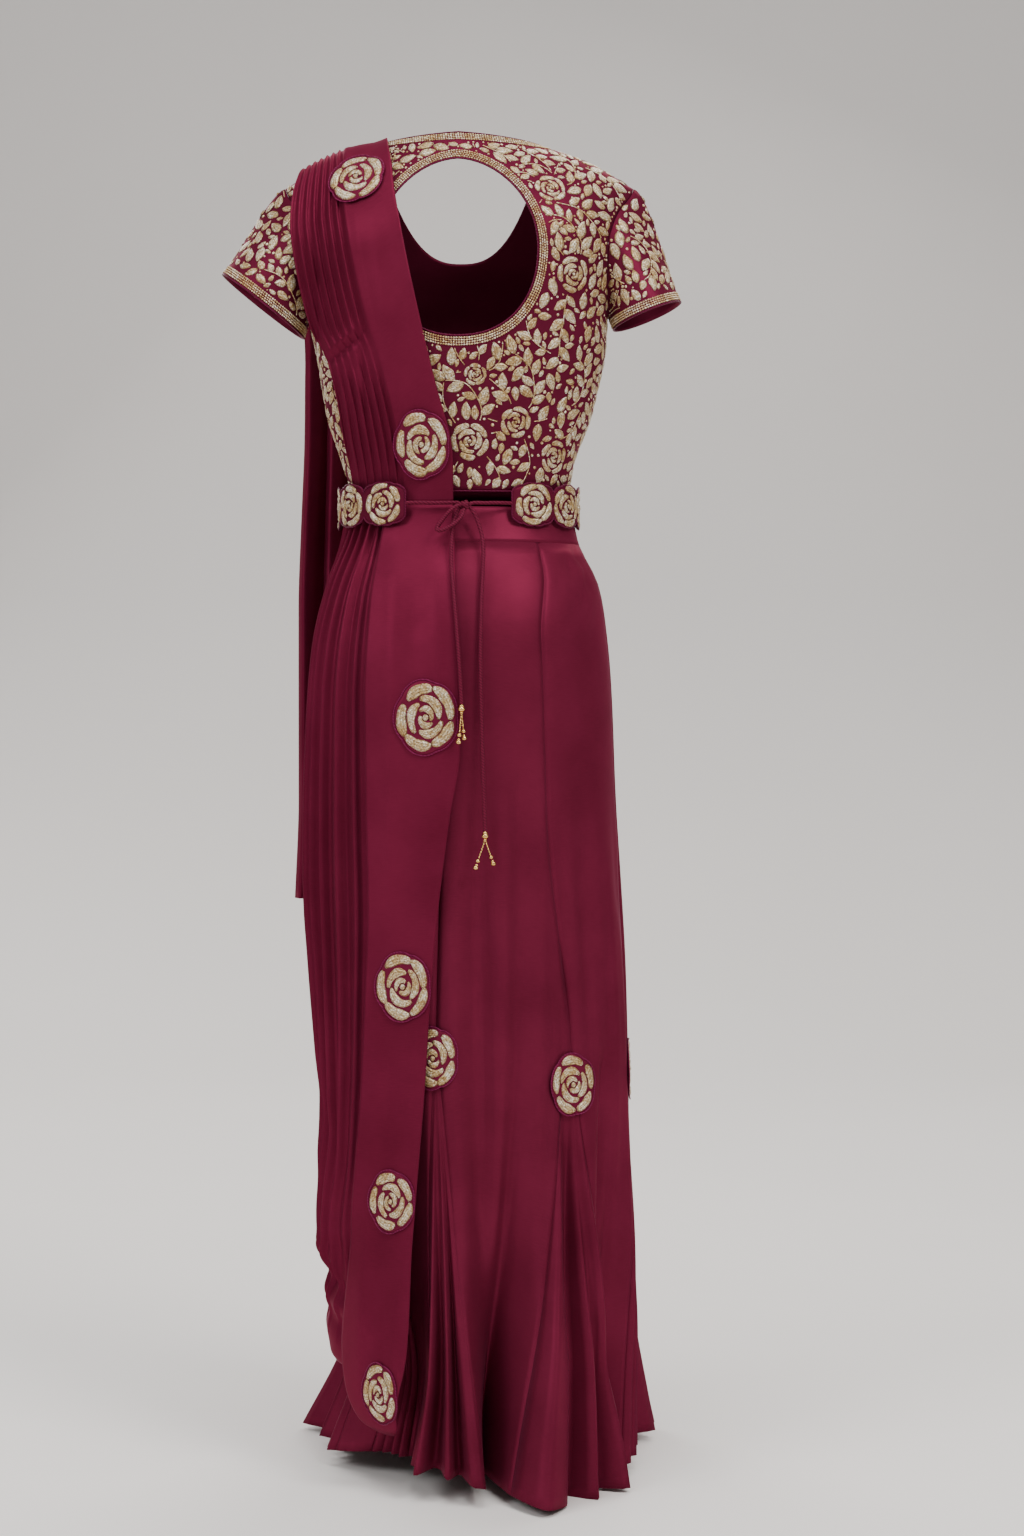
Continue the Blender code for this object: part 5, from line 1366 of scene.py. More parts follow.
# The ground between the vines is filled with loose leaves, the largest that fit first, and sequins
for scale, share in FILL_PASSES:
    for _ in range(int(FILL_TRIES * share)):
        spot, heading = random_place()
        try_leaf(spot, heading, [(LEAF_LENGTH * scale, LEAF_WIDTH * scale)], leaves)
for _ in range(FILL_TRIES // 6):
    spot, heading = random_place()
    radius = rng.uniform(*SEQUIN_RADII)
    if is_free([spot], [radius], MOTIF_GAP * SEQUIN_GAP):
        hit, normal, _ = cloth_at(spot)
        sequins.append((hit, heading, normal, (radius, radius, SEQUIN_RISE)))
        take([spot], [radius])
straight_leaf = leaf_piece("straight_leaf_pattern", 0.0, gold_zari)
bent_leaf = leaf_piece("bent_leaf_pattern", 0.09, gold_zari)
for name, piece, places, thread, unevenness in (
    ("blouse_leaves", straight_leaf, leaves[0::2], gold_zari, 0.0),
    ("blouse_bent_leaves", bent_leaf, leaves[1::2], gold_zari, 0.0),
    ("blouse_sequins", bead, sequins, gold_beads, 0.1),
):
    put_on(lay(name, piece, places, thread, unevenness), "embroidered")
put_on(tubes("blouse_stems", stems, STEM_RADIUS, gold_beads, sides=0), "embroidered")
for pattern in (bead, straight_leaf, bent_leaf):
    bpy.data.objects.remove(pattern)

# Pallu, upper back. Its flat inner part lies smooth from the shoulder to the belt. Its outer part is laid in
# seven narrow knife pleats, tacked together under the shoulder blade and again at the belt.
# Both edges, each at its own height, how far the pleats open and how far the cloth stands off
PALLU_UPPER = (
    ("outer_height", "outer", "inner_height", "inner", "pinch", "lift"),
    (1.3745, 0.1620, 1.4176, 0.0785, 0.50, 0.0068),
    (1.3640, 0.1660, 1.3980, 0.0735, 0.80, 0.0076),
    (1.3430, 0.1690, 1.3750, 0.0685, 1.00, 0.0085),
    (1.3100, 0.1710, 1.3420, 0.0643, 1.00, 0.0085),
    (1.2600, 0.1640, 1.2750, 0.0520, 1.00, 0.0085),
    (1.2100, 0.1520, 1.2100, 0.0380, 0.80, 0.0085),
    (1.1800, 0.1380, 1.1800, 0.0310, 0.20, 0.0085),
    (1.1400, 0.1260, 1.1400, 0.0210, 0.90, 0.0085),
    (1.0950, 0.1190, 1.0930, 0.0080, 1.00, 0.0080),
    (1.0600, 0.1125, 1.0600, 0.0050, 0.70, 0.0080),
    (1.0245, 0.1080, 1.0245, 0.0050, 0.30, 0.0075),
)
# Over the shoulder, the pallu bridges the armhole and leans out a little towards the arm
BRIDGE_FADE = 0.045
SHOULDER_LEAN = 0.35
SHOULDER_LEAN_REACH = 0.160
UPPER_BRIDGE = (0.145, 0.30)
UPPER_PLEAT = 0.0022
UPPER_PLEATS = 7
PLEAT_SPANS = 10
# The flat part rises to meet the pleats from this share of its width on
FLAT_RISES_FROM = 0.8
FLAT_RISES_OVER = 0.2
FLAT_RISE = 0.9
UPPER_SPANS = 90
UPPER_FLAT_SPANS = 22
# Beside the neck the drape settles onto the collar
NECK_SETTLE = 0.0034
NECK_SETTLE_WIDTH = 0.40
PLEATED_SHARE = 0.52
# A knife pleat: how far along it each point is, and how high it stands
KNIFE_PLEAT = ((0.0, 1.0), (0.30, -0.10), (0.58, -0.80), (0.80, -1.0), (0.90, 0.10), (1.0, 1.0))
UPPER_CREASES = (
    (0.0900, 1.330, 0.0700, 1.150, 0.0100, 0.0012),
    (0.1080, 1.300, 0.0900, 1.120, 0.0080, -0.0012),
    (0.0550, 1.250, 0.0350, 1.080, 0.0090, -0.0010),
    (0.1360, 1.172, 0.1010, 1.197, 0.0042, -0.0058),
    (0.1340, 1.182, 0.1000, 1.209, 0.0050, 0.0022),
    (0.1010, 1.192, 0.0950, 1.110, 0.0042, -0.0034),
    (0.1120, 1.172, 0.1050, 1.100, 0.0040, -0.0024),
)
DRAPE_WINE = (0.152, 0.0128, 0.0375, 1.0)
DRAPE_DEEP = (0.108, 0.0085, 0.0250, 1.0)


def over_shoulder(x, height, front, held_to, slant, lift):
    """A point above the blouse's back or front that bridges the armhole instead of following it in."""
    ridge = shoulder_line(x)
    away = ease((ridge - height) / BRIDGE_FADE)
    x_held = mix(x, min(x, held_to), away)
    held = torso_point(torso_angle(x_held, height), height, front)
    facing = -1 if front else 1
    at = Vector((x, held.y - facing * slant * (x - x_held), held.z))
    below = min(max((ridge - height) / SHOULDER_ROUNDING, 0.0), 1.0)
    level = math.sqrt(1 - (1 - below) ** 2)
    lean = SHOULDER_LEAN * (x / SHOULDER_LEAN_REACH) ** 2
    out = Vector((lean, facing * level, 1.0 - level)).normalized()
    return at + out * lift


def flat_push(creases, x, height):
    """How far the creases of the drape's flat cloth move a point of it."""
    total = 0.0
    for x0, h0, x1, h1, half_width, rise in creases:
        dx, dh = x1 - x0, h1 - h0
        walked = min(max(((x - x0) * dx + (height - h0) * dh) / (dx * dx + dh * dh), 0.0), 1.0)
        away = math.hypot(x - x0 - walked * dx, height - h0 - walked * dh) / half_width
        if away < 3:
            total += rise * math.sin(math.pi * (0.04 + 0.92 * walked)) ** 0.6 * math.exp(-away * away)
    return total


def knife(share, pleats):
    """How high a row of knife pleats stands, at a share of its width."""
    return interpolate(KNIFE_PLEAT, 0, 1, share * pleats % 1.0)


def build_pallu_upper():
    flat, pleated = UPPER_FLAT_SPANS, UPPER_PLEATS * PLEAT_SPANS
    # Each column's share of the width, and how high it stands
    columns = []
    for i in range(flat + 1):
        level = FLAT_RISE * ease((i / flat - FLAT_RISES_FROM) / FLAT_RISES_OVER)
        columns.append(((1 - PLEATED_SHARE) * i / flat, level))
    for i in range(1, pleated + 1):
        columns.append((1 - PLEATED_SHARE + PLEATED_SHARE * (i / pleated), knife(i / pleated, UPPER_PLEATS)))
    indexed = [(i, *row) for i, row in enumerate(PALLU_UPPER[1:])]
    grid = []
    for r in range(UPPER_SPANS + 1):
        at = (len(indexed) - 1) * r / UPPER_SPANS
        outer_height, outer, inner_height, inner, pinch, lift = (
            interpolate(indexed, 0, column, at) for column in range(1, 7)
        )
        line = []
        for share, level in columns:
            x = mix(inner, outer, share)
            height = mix(shoulder_line(x), mix(inner_height, outer_height, share), min(at, 1.0))
            settled = NECK_SETTLE * ease(1 - share / NECK_SETTLE_WIDTH) * ease(1 - at / 2)
            stand_off = lift - settled + UPPER_PLEAT * level * pinch + flat_push(UPPER_CREASES, x, height)
            line.append(over_shoulder(x, height, False, *UPPER_BRIDGE, stand_off))
        grid.append(line)
    return grid


drape_crepe = crepe("drape_crepe", DRAPE_WINE, DRAPE_DEEP)
upper_points = sheet_piece(
    "pallu_upper_cloth", build_pallu_upper(), drape_crepe, "draped",
    node="pallu_upper_back",
)

# Pallu, border. The flat inner stretch of the drape hangs straight from the belt to just above the floor. Its
# outer edge is folded, and the pleats run out from under that fold.
PALLU_TOP = 1.0240
# The border's inner edge and its fold, the angle of the pleats' outer edge, how far the border and the pleats
# stand off the skirt's flare, and how far the pleats reach
PALLU_LOWER = (
    ("height", "inner", "fold", "outer_angle", "border_off", "pleats_off", "pleat"),
    (0.0560, 0.0700, 0.1000, 66.0, -0.0260, 0.014, 0.0010),
    (0.0700, 0.0650, 0.1050, 70.0, -0.0060, 0.014, 0.0010),
    (0.1000, 0.0560, 0.1060, 74.0, 0.0100, 0.014, 0.0020),
    (0.1500, 0.0450, 0.1060, 80.0, 0.0150, 0.014, 0.0030),
    (0.2600, 0.0415, 0.1000, 101.0, 0.0135, 0.0245, 0.0010),
    (0.2850, 0.0400, 0.0990, 102.0, 0.0132, 0.0225, 0.0026),
    (0.3300, 0.0370, 0.0950, 102.0, 0.0130, 0.0150, 0.0050),
    (0.4100, 0.0315, 0.0900, 101.0, 0.0125, 0.0120, 0.0058),
    (0.5100, 0.0260, 0.0870, 100.0, 0.0120, 0.0115, 0.0060),
    (0.6000, 0.0190, 0.0850, 101.0, 0.0110, 0.0110, 0.0060),
    (0.7000, 0.0070, 0.0870, 101.0, 0.0105, 0.0105, 0.0058),
    (0.7600, -0.0028, 0.0880, 101.0, 0.0100, 0.0100, 0.0055),
    (0.8300, -0.0038, 0.0890, 100.0, 0.0095, 0.0100, 0.0052),
    (0.9220, 0.0010, 0.0840, 97.0, 0.0090, 0.0095, 0.0045),
    (0.9630, 0.0023, 0.0790, 91.0, 0.0080, 0.0085, 0.0035),
    (1.0000, 0.0040, 0.0739, 82.0, 0.0078, 0.0070, 0.0021),
    (1.0240, 0.0050, 0.0715, 76.0, 0.0078, 0.0066, 0.0019),
)
BORDER_HEM = 0.060
BORDER_ROUND = 0.012
BORDER_SPANS = (150, 30)
# Its creases: distance from the middle and height of each end, how wide, and how far they stand out
BORDER_CREASES = (
    (0.0200, 0.980, 0.0160, 0.700, 0.0080, 0.0012),
    (0.0420, 0.960, 0.0480, 0.560, 0.0090, -0.0014),
    (0.0620, 0.990, 0.0680, 0.620, 0.0070, 0.0012),
    (0.0300, 0.620, 0.0450, 0.300, 0.0100, 0.0014),
    (0.0620, 0.520, 0.0760, 0.180, 0.0090, -0.0016),
    (0.0480, 0.250, 0.0600, 0.090, 0.0080, 0.0014),
    (0.0860, 0.300, 0.0880, 0.100, 0.0070, 0.0012),
    (0.0180, 0.905, 0.0700, 0.880, 0.0120, -0.0006),
)


def lower_angle(x, height):
    side = read(SKIRT_SECTIONS, "left" if x > 0 else "right", height)
    return math.degrees(math.asin(max(min(x / side, 1.0), -1.0)))


def lower_point(angle, height, column, level, creases, least=0.0):
    stand_off = read(PALLU_LOWER, column, height)
    pleat = max(read(PALLU_LOWER, "pleat", height), least)
    base = skirt_base(angle, height)
    push = flat_push(creases, base.x, height)
    return base + base_normal(angle, height) * (stand_off + pleat * level + push)


def fold_angle(height):
    return lower_angle(read(PALLU_LOWER, "fold", height), height)


def border_point(down, across):
    height = mix(PALLU_TOP, BORDER_HEM + BORDER_ROUND * (2 * across - 1) ** 4, down)
    inner = lower_angle(read(PALLU_LOWER, "inner", height), height)
    angle = mix(inner, fold_angle(height), across)
    return lower_point(angle, height, "border_off", across**2, BORDER_CREASES)


border_points = sheet_piece(
    "border_cloth", grid_of(*BORDER_SPANS, border_point), drape_crepe, "draped", node="pallu_border"
)

# Pallu, pleats and side cascade. Six fanned pleats run from the belt to the left side. Their foot is caught
# up there, so the same cloth runs on in slanting swags, each curling over the next, and the pleats fade out.
PLEATS_HEM = 0.268
FOLD_UNDER = 2.2
PLEATS_FREE_FROM = 0.35
PLEATS_HIDDEN = 2.0 / 19.0
PLEAT_UNDER = -1.1
PLEAT_LEAST = 0.0044
LOWER_PLEATS = 6
PLEATS_SPANS = (110, 110)
CASCADE_SPANS = (70, 110)
PLEAT_CREASES = (
    (0.1450, 0.900, 0.1500, 0.600, 0.0070, -0.0012),
    (0.1200, 0.700, 0.1280, 0.380, 0.0070, 0.0012),
    (0.1380, 0.560, 0.1300, 0.330, 0.0080, -0.0016),
    (0.1180, 0.300, 0.1480, 0.375, 0.0080, 0.0024),
    (0.1150, 0.340, 0.1450, 0.430, 0.0075, -0.0026),
)
# The angle of the cascade's far edge, and how far its swags stand off the skirt's flare
CASCADE = (
    ("height", "end", "stand_off"),
    (0.1200, 100.0, 0.0110),
    (0.1290, 104.0, 0.0165),
    (0.1480, 108.0, 0.0185),
    (0.1800, 110.0, 0.0225),
    (0.2130, 110.0, 0.0165),
    (0.2440, 108.0, 0.0270),
    (0.2672, 102.0, 0.0245),
)
CASCADE_START_OFF = 0.0060
CASCADE_SAG = 0.012
CASCADE_FULL_FROM = 0.45
CASCADE_CREASES = (
    (0.1070, 0.196, 0.1490, 0.292, 0.0085, 0.0036),
    (0.1060, 0.182, 0.1440, 0.262, 0.0060, -0.0052),
    (0.1080, 0.164, 0.1420, 0.236, 0.0085, 0.0034),
    (0.1060, 0.150, 0.1380, 0.203, 0.0060, -0.0050),
    (0.1060, 0.128, 0.1340, 0.170, 0.0075, 0.0024),
)
CASCADE_TOP = 0.2678
# Above this height the cascade takes up the shape of the pleats that run into it
CASCADE_JOINS = 0.222
PLEATS_FADE_AT = 0.135


def pleat_level(across):
    """How high the pleats stand. The first stretch lies under the border's fold, the rest is pleated."""
    if across <= PLEATS_HIDDEN:
        return PLEAT_UNDER
    seen = (across - PLEATS_HIDDEN) / (1 - PLEATS_HIDDEN)
    return mix(PLEAT_UNDER, knife(seen * 0.999, LOWER_PLEATS), ease((across - PLEATS_HIDDEN) / 0.03))


def pleat_point(across, height):
    """The pleats fan out from under the border and soften towards their foot."""
    outer = read(PALLU_LOWER, "outer_angle", height)
    angle = mix(fold_angle(height) - FOLD_UNDER, outer, across)
    level = pleat_level(across)
    near = lower_point(angle, height, "border_off", level, PLEAT_CREASES, PLEAT_LEAST)
    free = lower_point(angle, height, "pleats_off", level, PLEAT_CREASES, PLEAT_LEAST)
    return near.lerp(free, ease(across / PLEATS_FREE_FROM))


def pleats_point(down, across):
    return pleat_point(across, mix(PALLU_TOP, PLEATS_HEM, down))


def cascade_point(down, across):
    level_height = mix(CASCADE_TOP, CASCADE[1][0], down)
    height = level_height - CASCADE_SAG * (1 - across) * math.sin(math.pi * down)
    angle = mix(fold_angle(height) - FOLD_UNDER, read(CASCADE, "end", height), across)
    swag = read(CASCADE, "stand_off", level_height)
    stand_off = mix(CASCADE_START_OFF, swag, ease(across / CASCADE_FULL_FROM))
    base = skirt_base(angle, height)
    running_on = ease((level_height - PLEATS_FADE_AT) / (CASCADE_TOP - PLEATS_FADE_AT))
    joined = ease((level_height - CASCADE_JOINS) / (CASCADE_TOP - CASCADE_JOINS))
    stand_off += flat_push(CASCADE_CREASES, base.x, height) + PLEAT_LEAST * pleat_level(across) * running_on
    return (base + base_normal(angle, height) * stand_off).lerp(pleat_point(across, level_height), joined)


pleats = grid_of(*PLEATS_SPANS, pleats_point) + grid_of(*CASCADE_SPANS, cascade_point)[1:]
sheet_piece(
    "pleats_cloth", pleats, drape_crepe, "draped", node=("pallu_pleats", "pallu_side_cascade")
)

# Pallu, front fall. The short end drops over the bust on the left, in five folds, to the thigh.
# Its edges, its distance in front of the middle of the body and the depth of its folds
FRONT_FALL = (
    ("height", "inner", "outer", "depth", "fold"),
    (0.600, 0.040, 0.184, 0.133, 0.0080),
    (0.700, 0.042, 0.180, 0.134, 0.0078),
    (0.820, 0.045, 0.180, 0.136, 0.0075),
    (0.930, 0.048, 0.180, 0.139, 0.0070),
    (1.020, 0.050, 0.177, 0.143, 0.0060),
    (1.100, 0.052, 0.174, 0.147, 0.0050),
    (1.200, 0.055, 0.173, 0.150, 0.0035),
    (1.280, 0.062, 0.171, 0.146, 0.0025),
)
FALL_LEAVES = 1.190
FALL_SIDE_CURVE = 2.1
FALL_LIFT = 0.0072
FALL_BRIDGE = (0.130, 0.25)
FALL_LEAVES_OVER = 0.100
FALL_FOLD_ON_BODY = 0.6
FALL_SPREADS = 0.2
FALL_FOLDS = 5
# The rows of the fall lie closer together at the shoulder
FALL_CROWDS = 1.4
FALL_SPANS = (110, 75)
FALL_CREASES = (
    (0.0800, 1.000, 0.0860, 0.700, 0.0090, 0.0020),
    (0.1300, 0.960, 0.1340, 0.680, 0.0080, -0.0020),
    (0.1560, 1.080, 0.1640, 0.760, 0.0080, 0.0018),
)


def front_fall_point(x, height, level, settled):
    """The short end hangs off the bust: it follows the blouse above, and falls straight below."""
    fold = read(FRONT_FALL, "fold", height) * level + flat_push(FALL_CREASES, x, height)
    depth = read(FRONT_FALL, "depth", height)
    side = max(abs(x) - 0.06, 0.0)
    hanging = world(x, FALL_SIDE_CURVE * side * side - depth - fold, height)
    if height < FALL_LEAVES:
        return hanging
    on_body = over_shoulder(x, height, True, *FALL_BRIDGE, FALL_LIFT - settled + FALL_FOLD_ON_BODY * fold)
    return hanging.lerp(on_body, ease((height - FALL_LEAVES) / FALL_LEAVES_OVER))


def fall_point(down, across):
    top_inner, top_outer = PALLU_UPPER[1][3], PALLU_UPPER[1][1]
    fraction = down ** FALL_CROWDS
    height = mix(shoulder_line(mix(top_inner, top_outer, across)), FRONT_FALL[1][0], fraction)
    spread = ease(fraction / FALL_SPREADS)
    inner = mix(top_inner, read(FRONT_FALL, "inner", height), spread)
    outer = mix(top_outer, read(FRONT_FALL, "outer", height), spread)
    level = mix(0.3, knife(across, FALL_FOLDS), ease(across / 0.06))
    settled = NECK_SETTLE * ease(1 - across / NECK_SETTLE_WIDTH) * ease(1 - fraction / 0.06)
    return front_fall_point(mix(inner, outer, across), height, level * spread, settled)


sheet_piece(
    "front_fall_cloth", grid_of(*FALL_SPANS, fall_point), drape_crepe, "draped",
    node="pallu_front_fall",
)

# Belt. A stiffened strip of wine crepe, cut in a scallop round each of its roses and open at the back.
# It lies over the pallu on the left and against the waist elsewhere.
BELT_BOTTOM = 1.001
BELT_TOP = 1.046
BELT_LEVEL = 1.010
BELT_THICKNESS = 0.0018
# The angles of its two back ends, counted from the middle of the back through the wearer's left
BELT_START = 26.0
BELT_END = 333.5
BELT_ROSES = 12
BELT_OFF_WAIST = 0.0060
BELT_OFF_PALLU = 0.0155
BELT_ON_PALLU_UNTIL = 200.0
BELT_RISES_OVER = 90.0
BELT_LOBES = 4
BELT_LOBE_DEPTH = 0.0009
BELT_WAIST = 0.0090
BELT_SPANS = (8, BELT_ROSES * 24)


def belt_point(angle, height):
    """A point of the belt, which moves out where the pallu lies under it."""
    on_pallu = ease((BELT_ON_PALLU_UNTIL - angle) / BELT_RISES_OVER)
    stand_off = mix(BELT_OFF_WAIST, BELT_OFF_PALLU, on_pallu)
    at = skirt_base(angle, BELT_LEVEL) + base_normal(angle, BELT_LEVEL) * stand_off
    at.z = height - SHOULDER_HEIGHT
    return at


def belt_edge(share):
    """How far the belt's scalloped edge is drawn in at a share of its length."""
    within = share * BELT_ROSES
    scallop = abs(math.sin(math.pi * within)) ** 0.55
    lobes = 1 - abs(math.sin(math.pi * BELT_LOBES * within)) ** 0.8
    return BELT_WAIST * (1 - scallop) + BELT_LOBE_DEPTH * lobes


def belt_cloth_point(up, share):
    edge = belt_edge(share)
    return belt_point(mix(BELT_START, BELT_END, share), mix(BELT_BOTTOM + edge, BELT_TOP - edge, up))


belt_cloth = grid_of(*BELT_SPANS, belt_cloth_point)
belt_points = sheet_piece(
    "belt_cloth", belt_cloth, blouse_crepe, "stretched", node="belt", slot="gold",
    thickness=BELT_THICKNESS,
)
belt_outline = list(belt_points[0]) + list(belt_points[1:, -1])
belt_outline += list(belt_points[-1][::-1][1:]) + list(belt_points[::-1, 0][1:-1])
bind("belt_binding", [belt_outline])

# Rose appliques. Each is a round patch of wine crepe with a corded edge, filled with petals of gold thread.
# They are sewn flat on the pallu's border, on the godet tops and along the belt.
# Rose appliques on the pallu: name, height, distance from the middle, half-width and half-height
PALLU_ROSES = (
    ("rose_shoulder", 1.3620, 0.1055, 0.0315, 0.0315),
    ("rose_waist", 1.0840, 0.0375, 0.0298, 0.0365),
    ("rose_hip", 0.8015, 0.0320, 0.0340, 0.0395),
    ("rose_thigh", 0.5245, 0.0560, 0.0305, 0.0365),
    ("rose_knee", 0.3040, 0.0680, 0.0282, 0.0330),
    ("rose_hem", 0.1080, 0.0800, 0.0255, 0.0330),
)
# Roses at the godet tops: name, angle from the middle of the back, height
SKIRT_ROSES = (
    ("rose_godet_1", 9.0, 0.4510),
    ("rose_godet_4", 139.0, 0.4350),
    ("rose_godet_5", 184.0, 0.4400),
    ("rose_godet_6", 229.0, 0.4350),
    ("rose_godet_7", 274.0, 0.4250),
    ("rose_godet_8", 319.0, 0.4200),
)
SKIRT_ROSE_SIZE = (0.0270, 0.0330)
PATCH_RINGS = (0.0, 0.25, 0.5, 0.72, 0.88, 1.0)
PATCH_SPANS = 60
PATCH_LIFT = 0.0012
PATCH_THICKNESS = 0.0008
PATCH_LOBES = 5
PATCH_LOBE_DEPTH = 0.075
PATCH_BINDING = 0.0007
PETAL_RISE = 0.0016
PETALS_WITHIN = 0.945
FEELER_GRID = 9
FEELERS_REACH = 1.05
FEELERS_START = 0.05
FEELERS_MISS = 0.02
# The share of the folds below that a patch clears
PATCH_CLEARS = 0.97
BELT_ROSE_RADIUS = 0.0230
BELT_ROSE_HEIGHT = 1.0235
PATCH_WINE = (0.148, 0.0128, 0.0370, 1.0)
PATCH_EDGE = (0.190, 0.0150, 0.0660, 1.0)


def settled_surface(tree, centre, normal, half_width, half_height):
    """A smooth surface that rests on the folds below a patch, as place(u, v, up) over the patch."""
    across, along = level_axes(normal)

    def cubic(u, v):
        a, b = u / half_width, v / half_height
        return 1, a, b, a * a, a * b, b * b, a**3, a * a * b, a * b * b, b**3

    terms, heights = [], []
    steps = [FEELERS_REACH * (2 * i / (FEELER_GRID - 1) - 1) for i in range(FEELER_GRID)]
    for u, v in [(half_width * a, half_height * b) for a in steps for b in steps]:
        flat = centre + across * u + along * v
        hit = tree.ray_cast(flat + normal * FEELERS_START, -normal)[0]
        if hit is not None and (hit - flat).length <= FEELERS_MISS:
            terms.append(cubic(u, v))
            heights.append((hit - centre).dot(normal))
    terms, heights = np.array(terms), np.array(heights)
    fitted = np.linalg.lstsq(terms, heights, rcond=None)[0]
    rest = max(float(np.quantile(heights - terms @ fitted, PATCH_CLEARS)), 0.0)
    return lambda u, v, up: (
        centre + across * u + along * v + normal * (float(np.array(cubic(u, v)) @ fitted) + rest + up)
    )


def patch_edge(turn, twist):
    """How far the patch's edge reaches at an angle, in lobes round its outer petals."""
    return 1 - PATCH_LOBE_DEPTH * (1 - abs(math.sin(PATCH_LOBES * (turn - twist) / 2)) ** 0.7)


def rose_applique(name, tree, middle, normal, half_width, half_height, twist, seed):
    place = settled_surface(tree, middle, normal, half_width, half_height)

    def edge_point(ring, turn):
        reach = max(ring, 0.004) * patch_edge(turn, math.radians(twist))
        return place(half_width * reach * math.cos(turn), half_height * reach * math.sin(turn), PATCH_LIFT)

    turns = [2 * math.pi * i / PATCH_SPANS for i in range(PATCH_SPANS)]
    grid = [[edge_point(ring, turn) for turn in turns] for ring in PATCH_RINGS]
    patch = cloth_shell(f"{name}_patch", grid, patch_crepe, closed=True, thickness=PATCH_THICKNESS)[0]
    put_on(patch, "crepe", name)
    put_on(tubes(f"{name}_binding", [grid[-1]], PATCH_BINDING, patch_cord, closed=True), "cord")

    def stretched(u, v, up):
        return place(u * half_width, v * half_height, PATCH_LIFT - 0.0002 + up)

    petals = rose_patches(PETALS_WITHIN, twist, stretched, PETAL_RISE, random.Random(seed))
    put_on(joined_petals(f"{name}_petals", petals, gold_zari), "gold")


patch_crepe = crepe("patch_crepe", PATCH_WINE, BLOUSE_WINE)
patch_cord = cord_surface("patch_cord", PATCH_EDGE, BINDING_WINE)
upper_tree = outer_tree((upper_points, False))
border_tree = outer_tree((border_points, False))
skirt_tree = outer_tree(*skirt_grids)
for i, (name, height, across, half_width, half_height) in enumerate(PALLU_ROSES):
    tree = upper_tree if height > PALLU_TOP else border_tree
    middle, normal = tree.ray_cast(world(across, 0.5, height), Vector((0.0, -1.0, 0.0)))[:2]
    normal = normal if normal.y > 0 else -normal
    rose_applique(name, tree, middle, normal, half_width, half_height, 73.0 * i, i)
for i, (name, angle, height) in enumerate(SKIRT_ROSES):
    angle = seam_shift(angle, height)
    out = base_normal(angle, height)
    middle = skirt_tree.find_nearest(skirt_base(angle, height) + out * 0.01)[0]
    rose_applique(name, skirt_tree, middle, out, *SKIRT_ROSE_SIZE, 41.0 * i, 20 + i)

belt_tree = outer_tree((belt_points, False))
belt_petals = []
for i in range(BELT_ROSES):
    angle = mix(BELT_START, BELT_END, (i + 0.5) / BELT_ROSES)
    middle, normal, _, _ = belt_tree.find_nearest(belt_point(angle, BELT_ROSE_HEIGHT))
    place = on_surface(belt_tree, middle, *level_axes(normal))
    belt_petals += rose_patches(BELT_ROSE_RADIUS, 47.0 * i, place, PETAL_RISE, random.Random(60 + i))
put_on(joined_petals("belt_roses", belt_petals, gold_zari), "gold")

# Ties. Two thin silk cords run from the belt's ends to a knot with a small bow at the middle of the back, and
# hang down over the skirt. Each ends in gold beads.
CORD_DIAMETER = 0.004
CORD_LEVEL = 1.0240
# Each route's points are (across, out from the middle, height). The cords start at the belt's back ends and
# pass the knot on both sides
KNOT = (-0.0076, 0.0930, 1.0210)
KNOT_RADIUS = 0.0052
# Each turn of the knot: its tilt and lean
KNOT_TURNS = ((0.2, 0.5), (1.3, -0.4), (2.3, 0.2))
LEFT_CORD = (
    (0.0400, 0.0890, 1.0238),
    (0.0250, 0.0898, 1.0235),
    (0.0100, 0.0905, 1.0236),
    (-0.0030, 0.0920, 1.0225),
    (0.0015, 0.0945, 1.0120),
    (0.0055, 0.1005, 0.9960),
    (0.0062, 0.1130, 0.9600),
    (0.0030, 0.1270, 0.9220),
    (-0.0015, 0.1375, 0.8660),
    (-0.0046, 0.1400, 0.8150),
)
RIGHT_CORD = (
    (-0.0430, 0.0840, 1.0240),
    (-0.0300, 0.0885, 1.0235),
    (-0.0119, 0.0924, 1.0220),
    (-0.0190, 0.0935, 1.0080),
    (-0.0262, 0.0995, 0.9790),
    (-0.0246, 0.1180, 0.9220),
    (-0.0236, 0.1285, 0.8660),
    (-0.0245, 0.1315, 0.8100),
    (-0.0260, 0.1315, 0.7570),
    (-0.0285, 0.1305, 0.6850),
)
BOW_LOOP = (
    (0.0012, 0.0995, 1.0198),
    (0.0085, 0.1015, 1.0140),
    (0.0150, 0.1020, 1.0060),
    (0.0215, 0.1035, 0.9965),
    (0.0170, 0.1055, 0.9940),
    (0.0050, 0.1050, 1.0000),
    (-0.0040, 0.1010, 1.0090),
)
BOW_LEAVES = (0.82, 0.50, -0.05)
BOW_RETURNS = (0.25, 0.55, -0.80)
CORD_WINE = (0.140, 0.0120, 0.0320, 1.0)
CORD_DEEP = (0.075, 0.0060, 0.0180, 1.0)
BEAD_GOLD = (0.830, 0.560, 0.215, 1.0)
BEAD_SHADE = (0.62, 0.37, 0.12, 1.0)
# Tassels: parts of a strand as drop below the cord, radius and length
TASSEL_HEAD = ((0.0016, 0.0026, 0.0018), (0.0048, 0.0036, 0.0030), (0.0086, 0.0020, 0.0012))
TASSEL_TUBES = 7
TUBES_FROM_TO = (0.0015, 0.0190)
TUBE_SIZE = (0.0009, 0.0014)
TASSEL_END = ((0.0300, 0.0030, 0.0026), (0.0345, 0.0022, 0.0018), (0.0372, 0.0034, 0.0030))


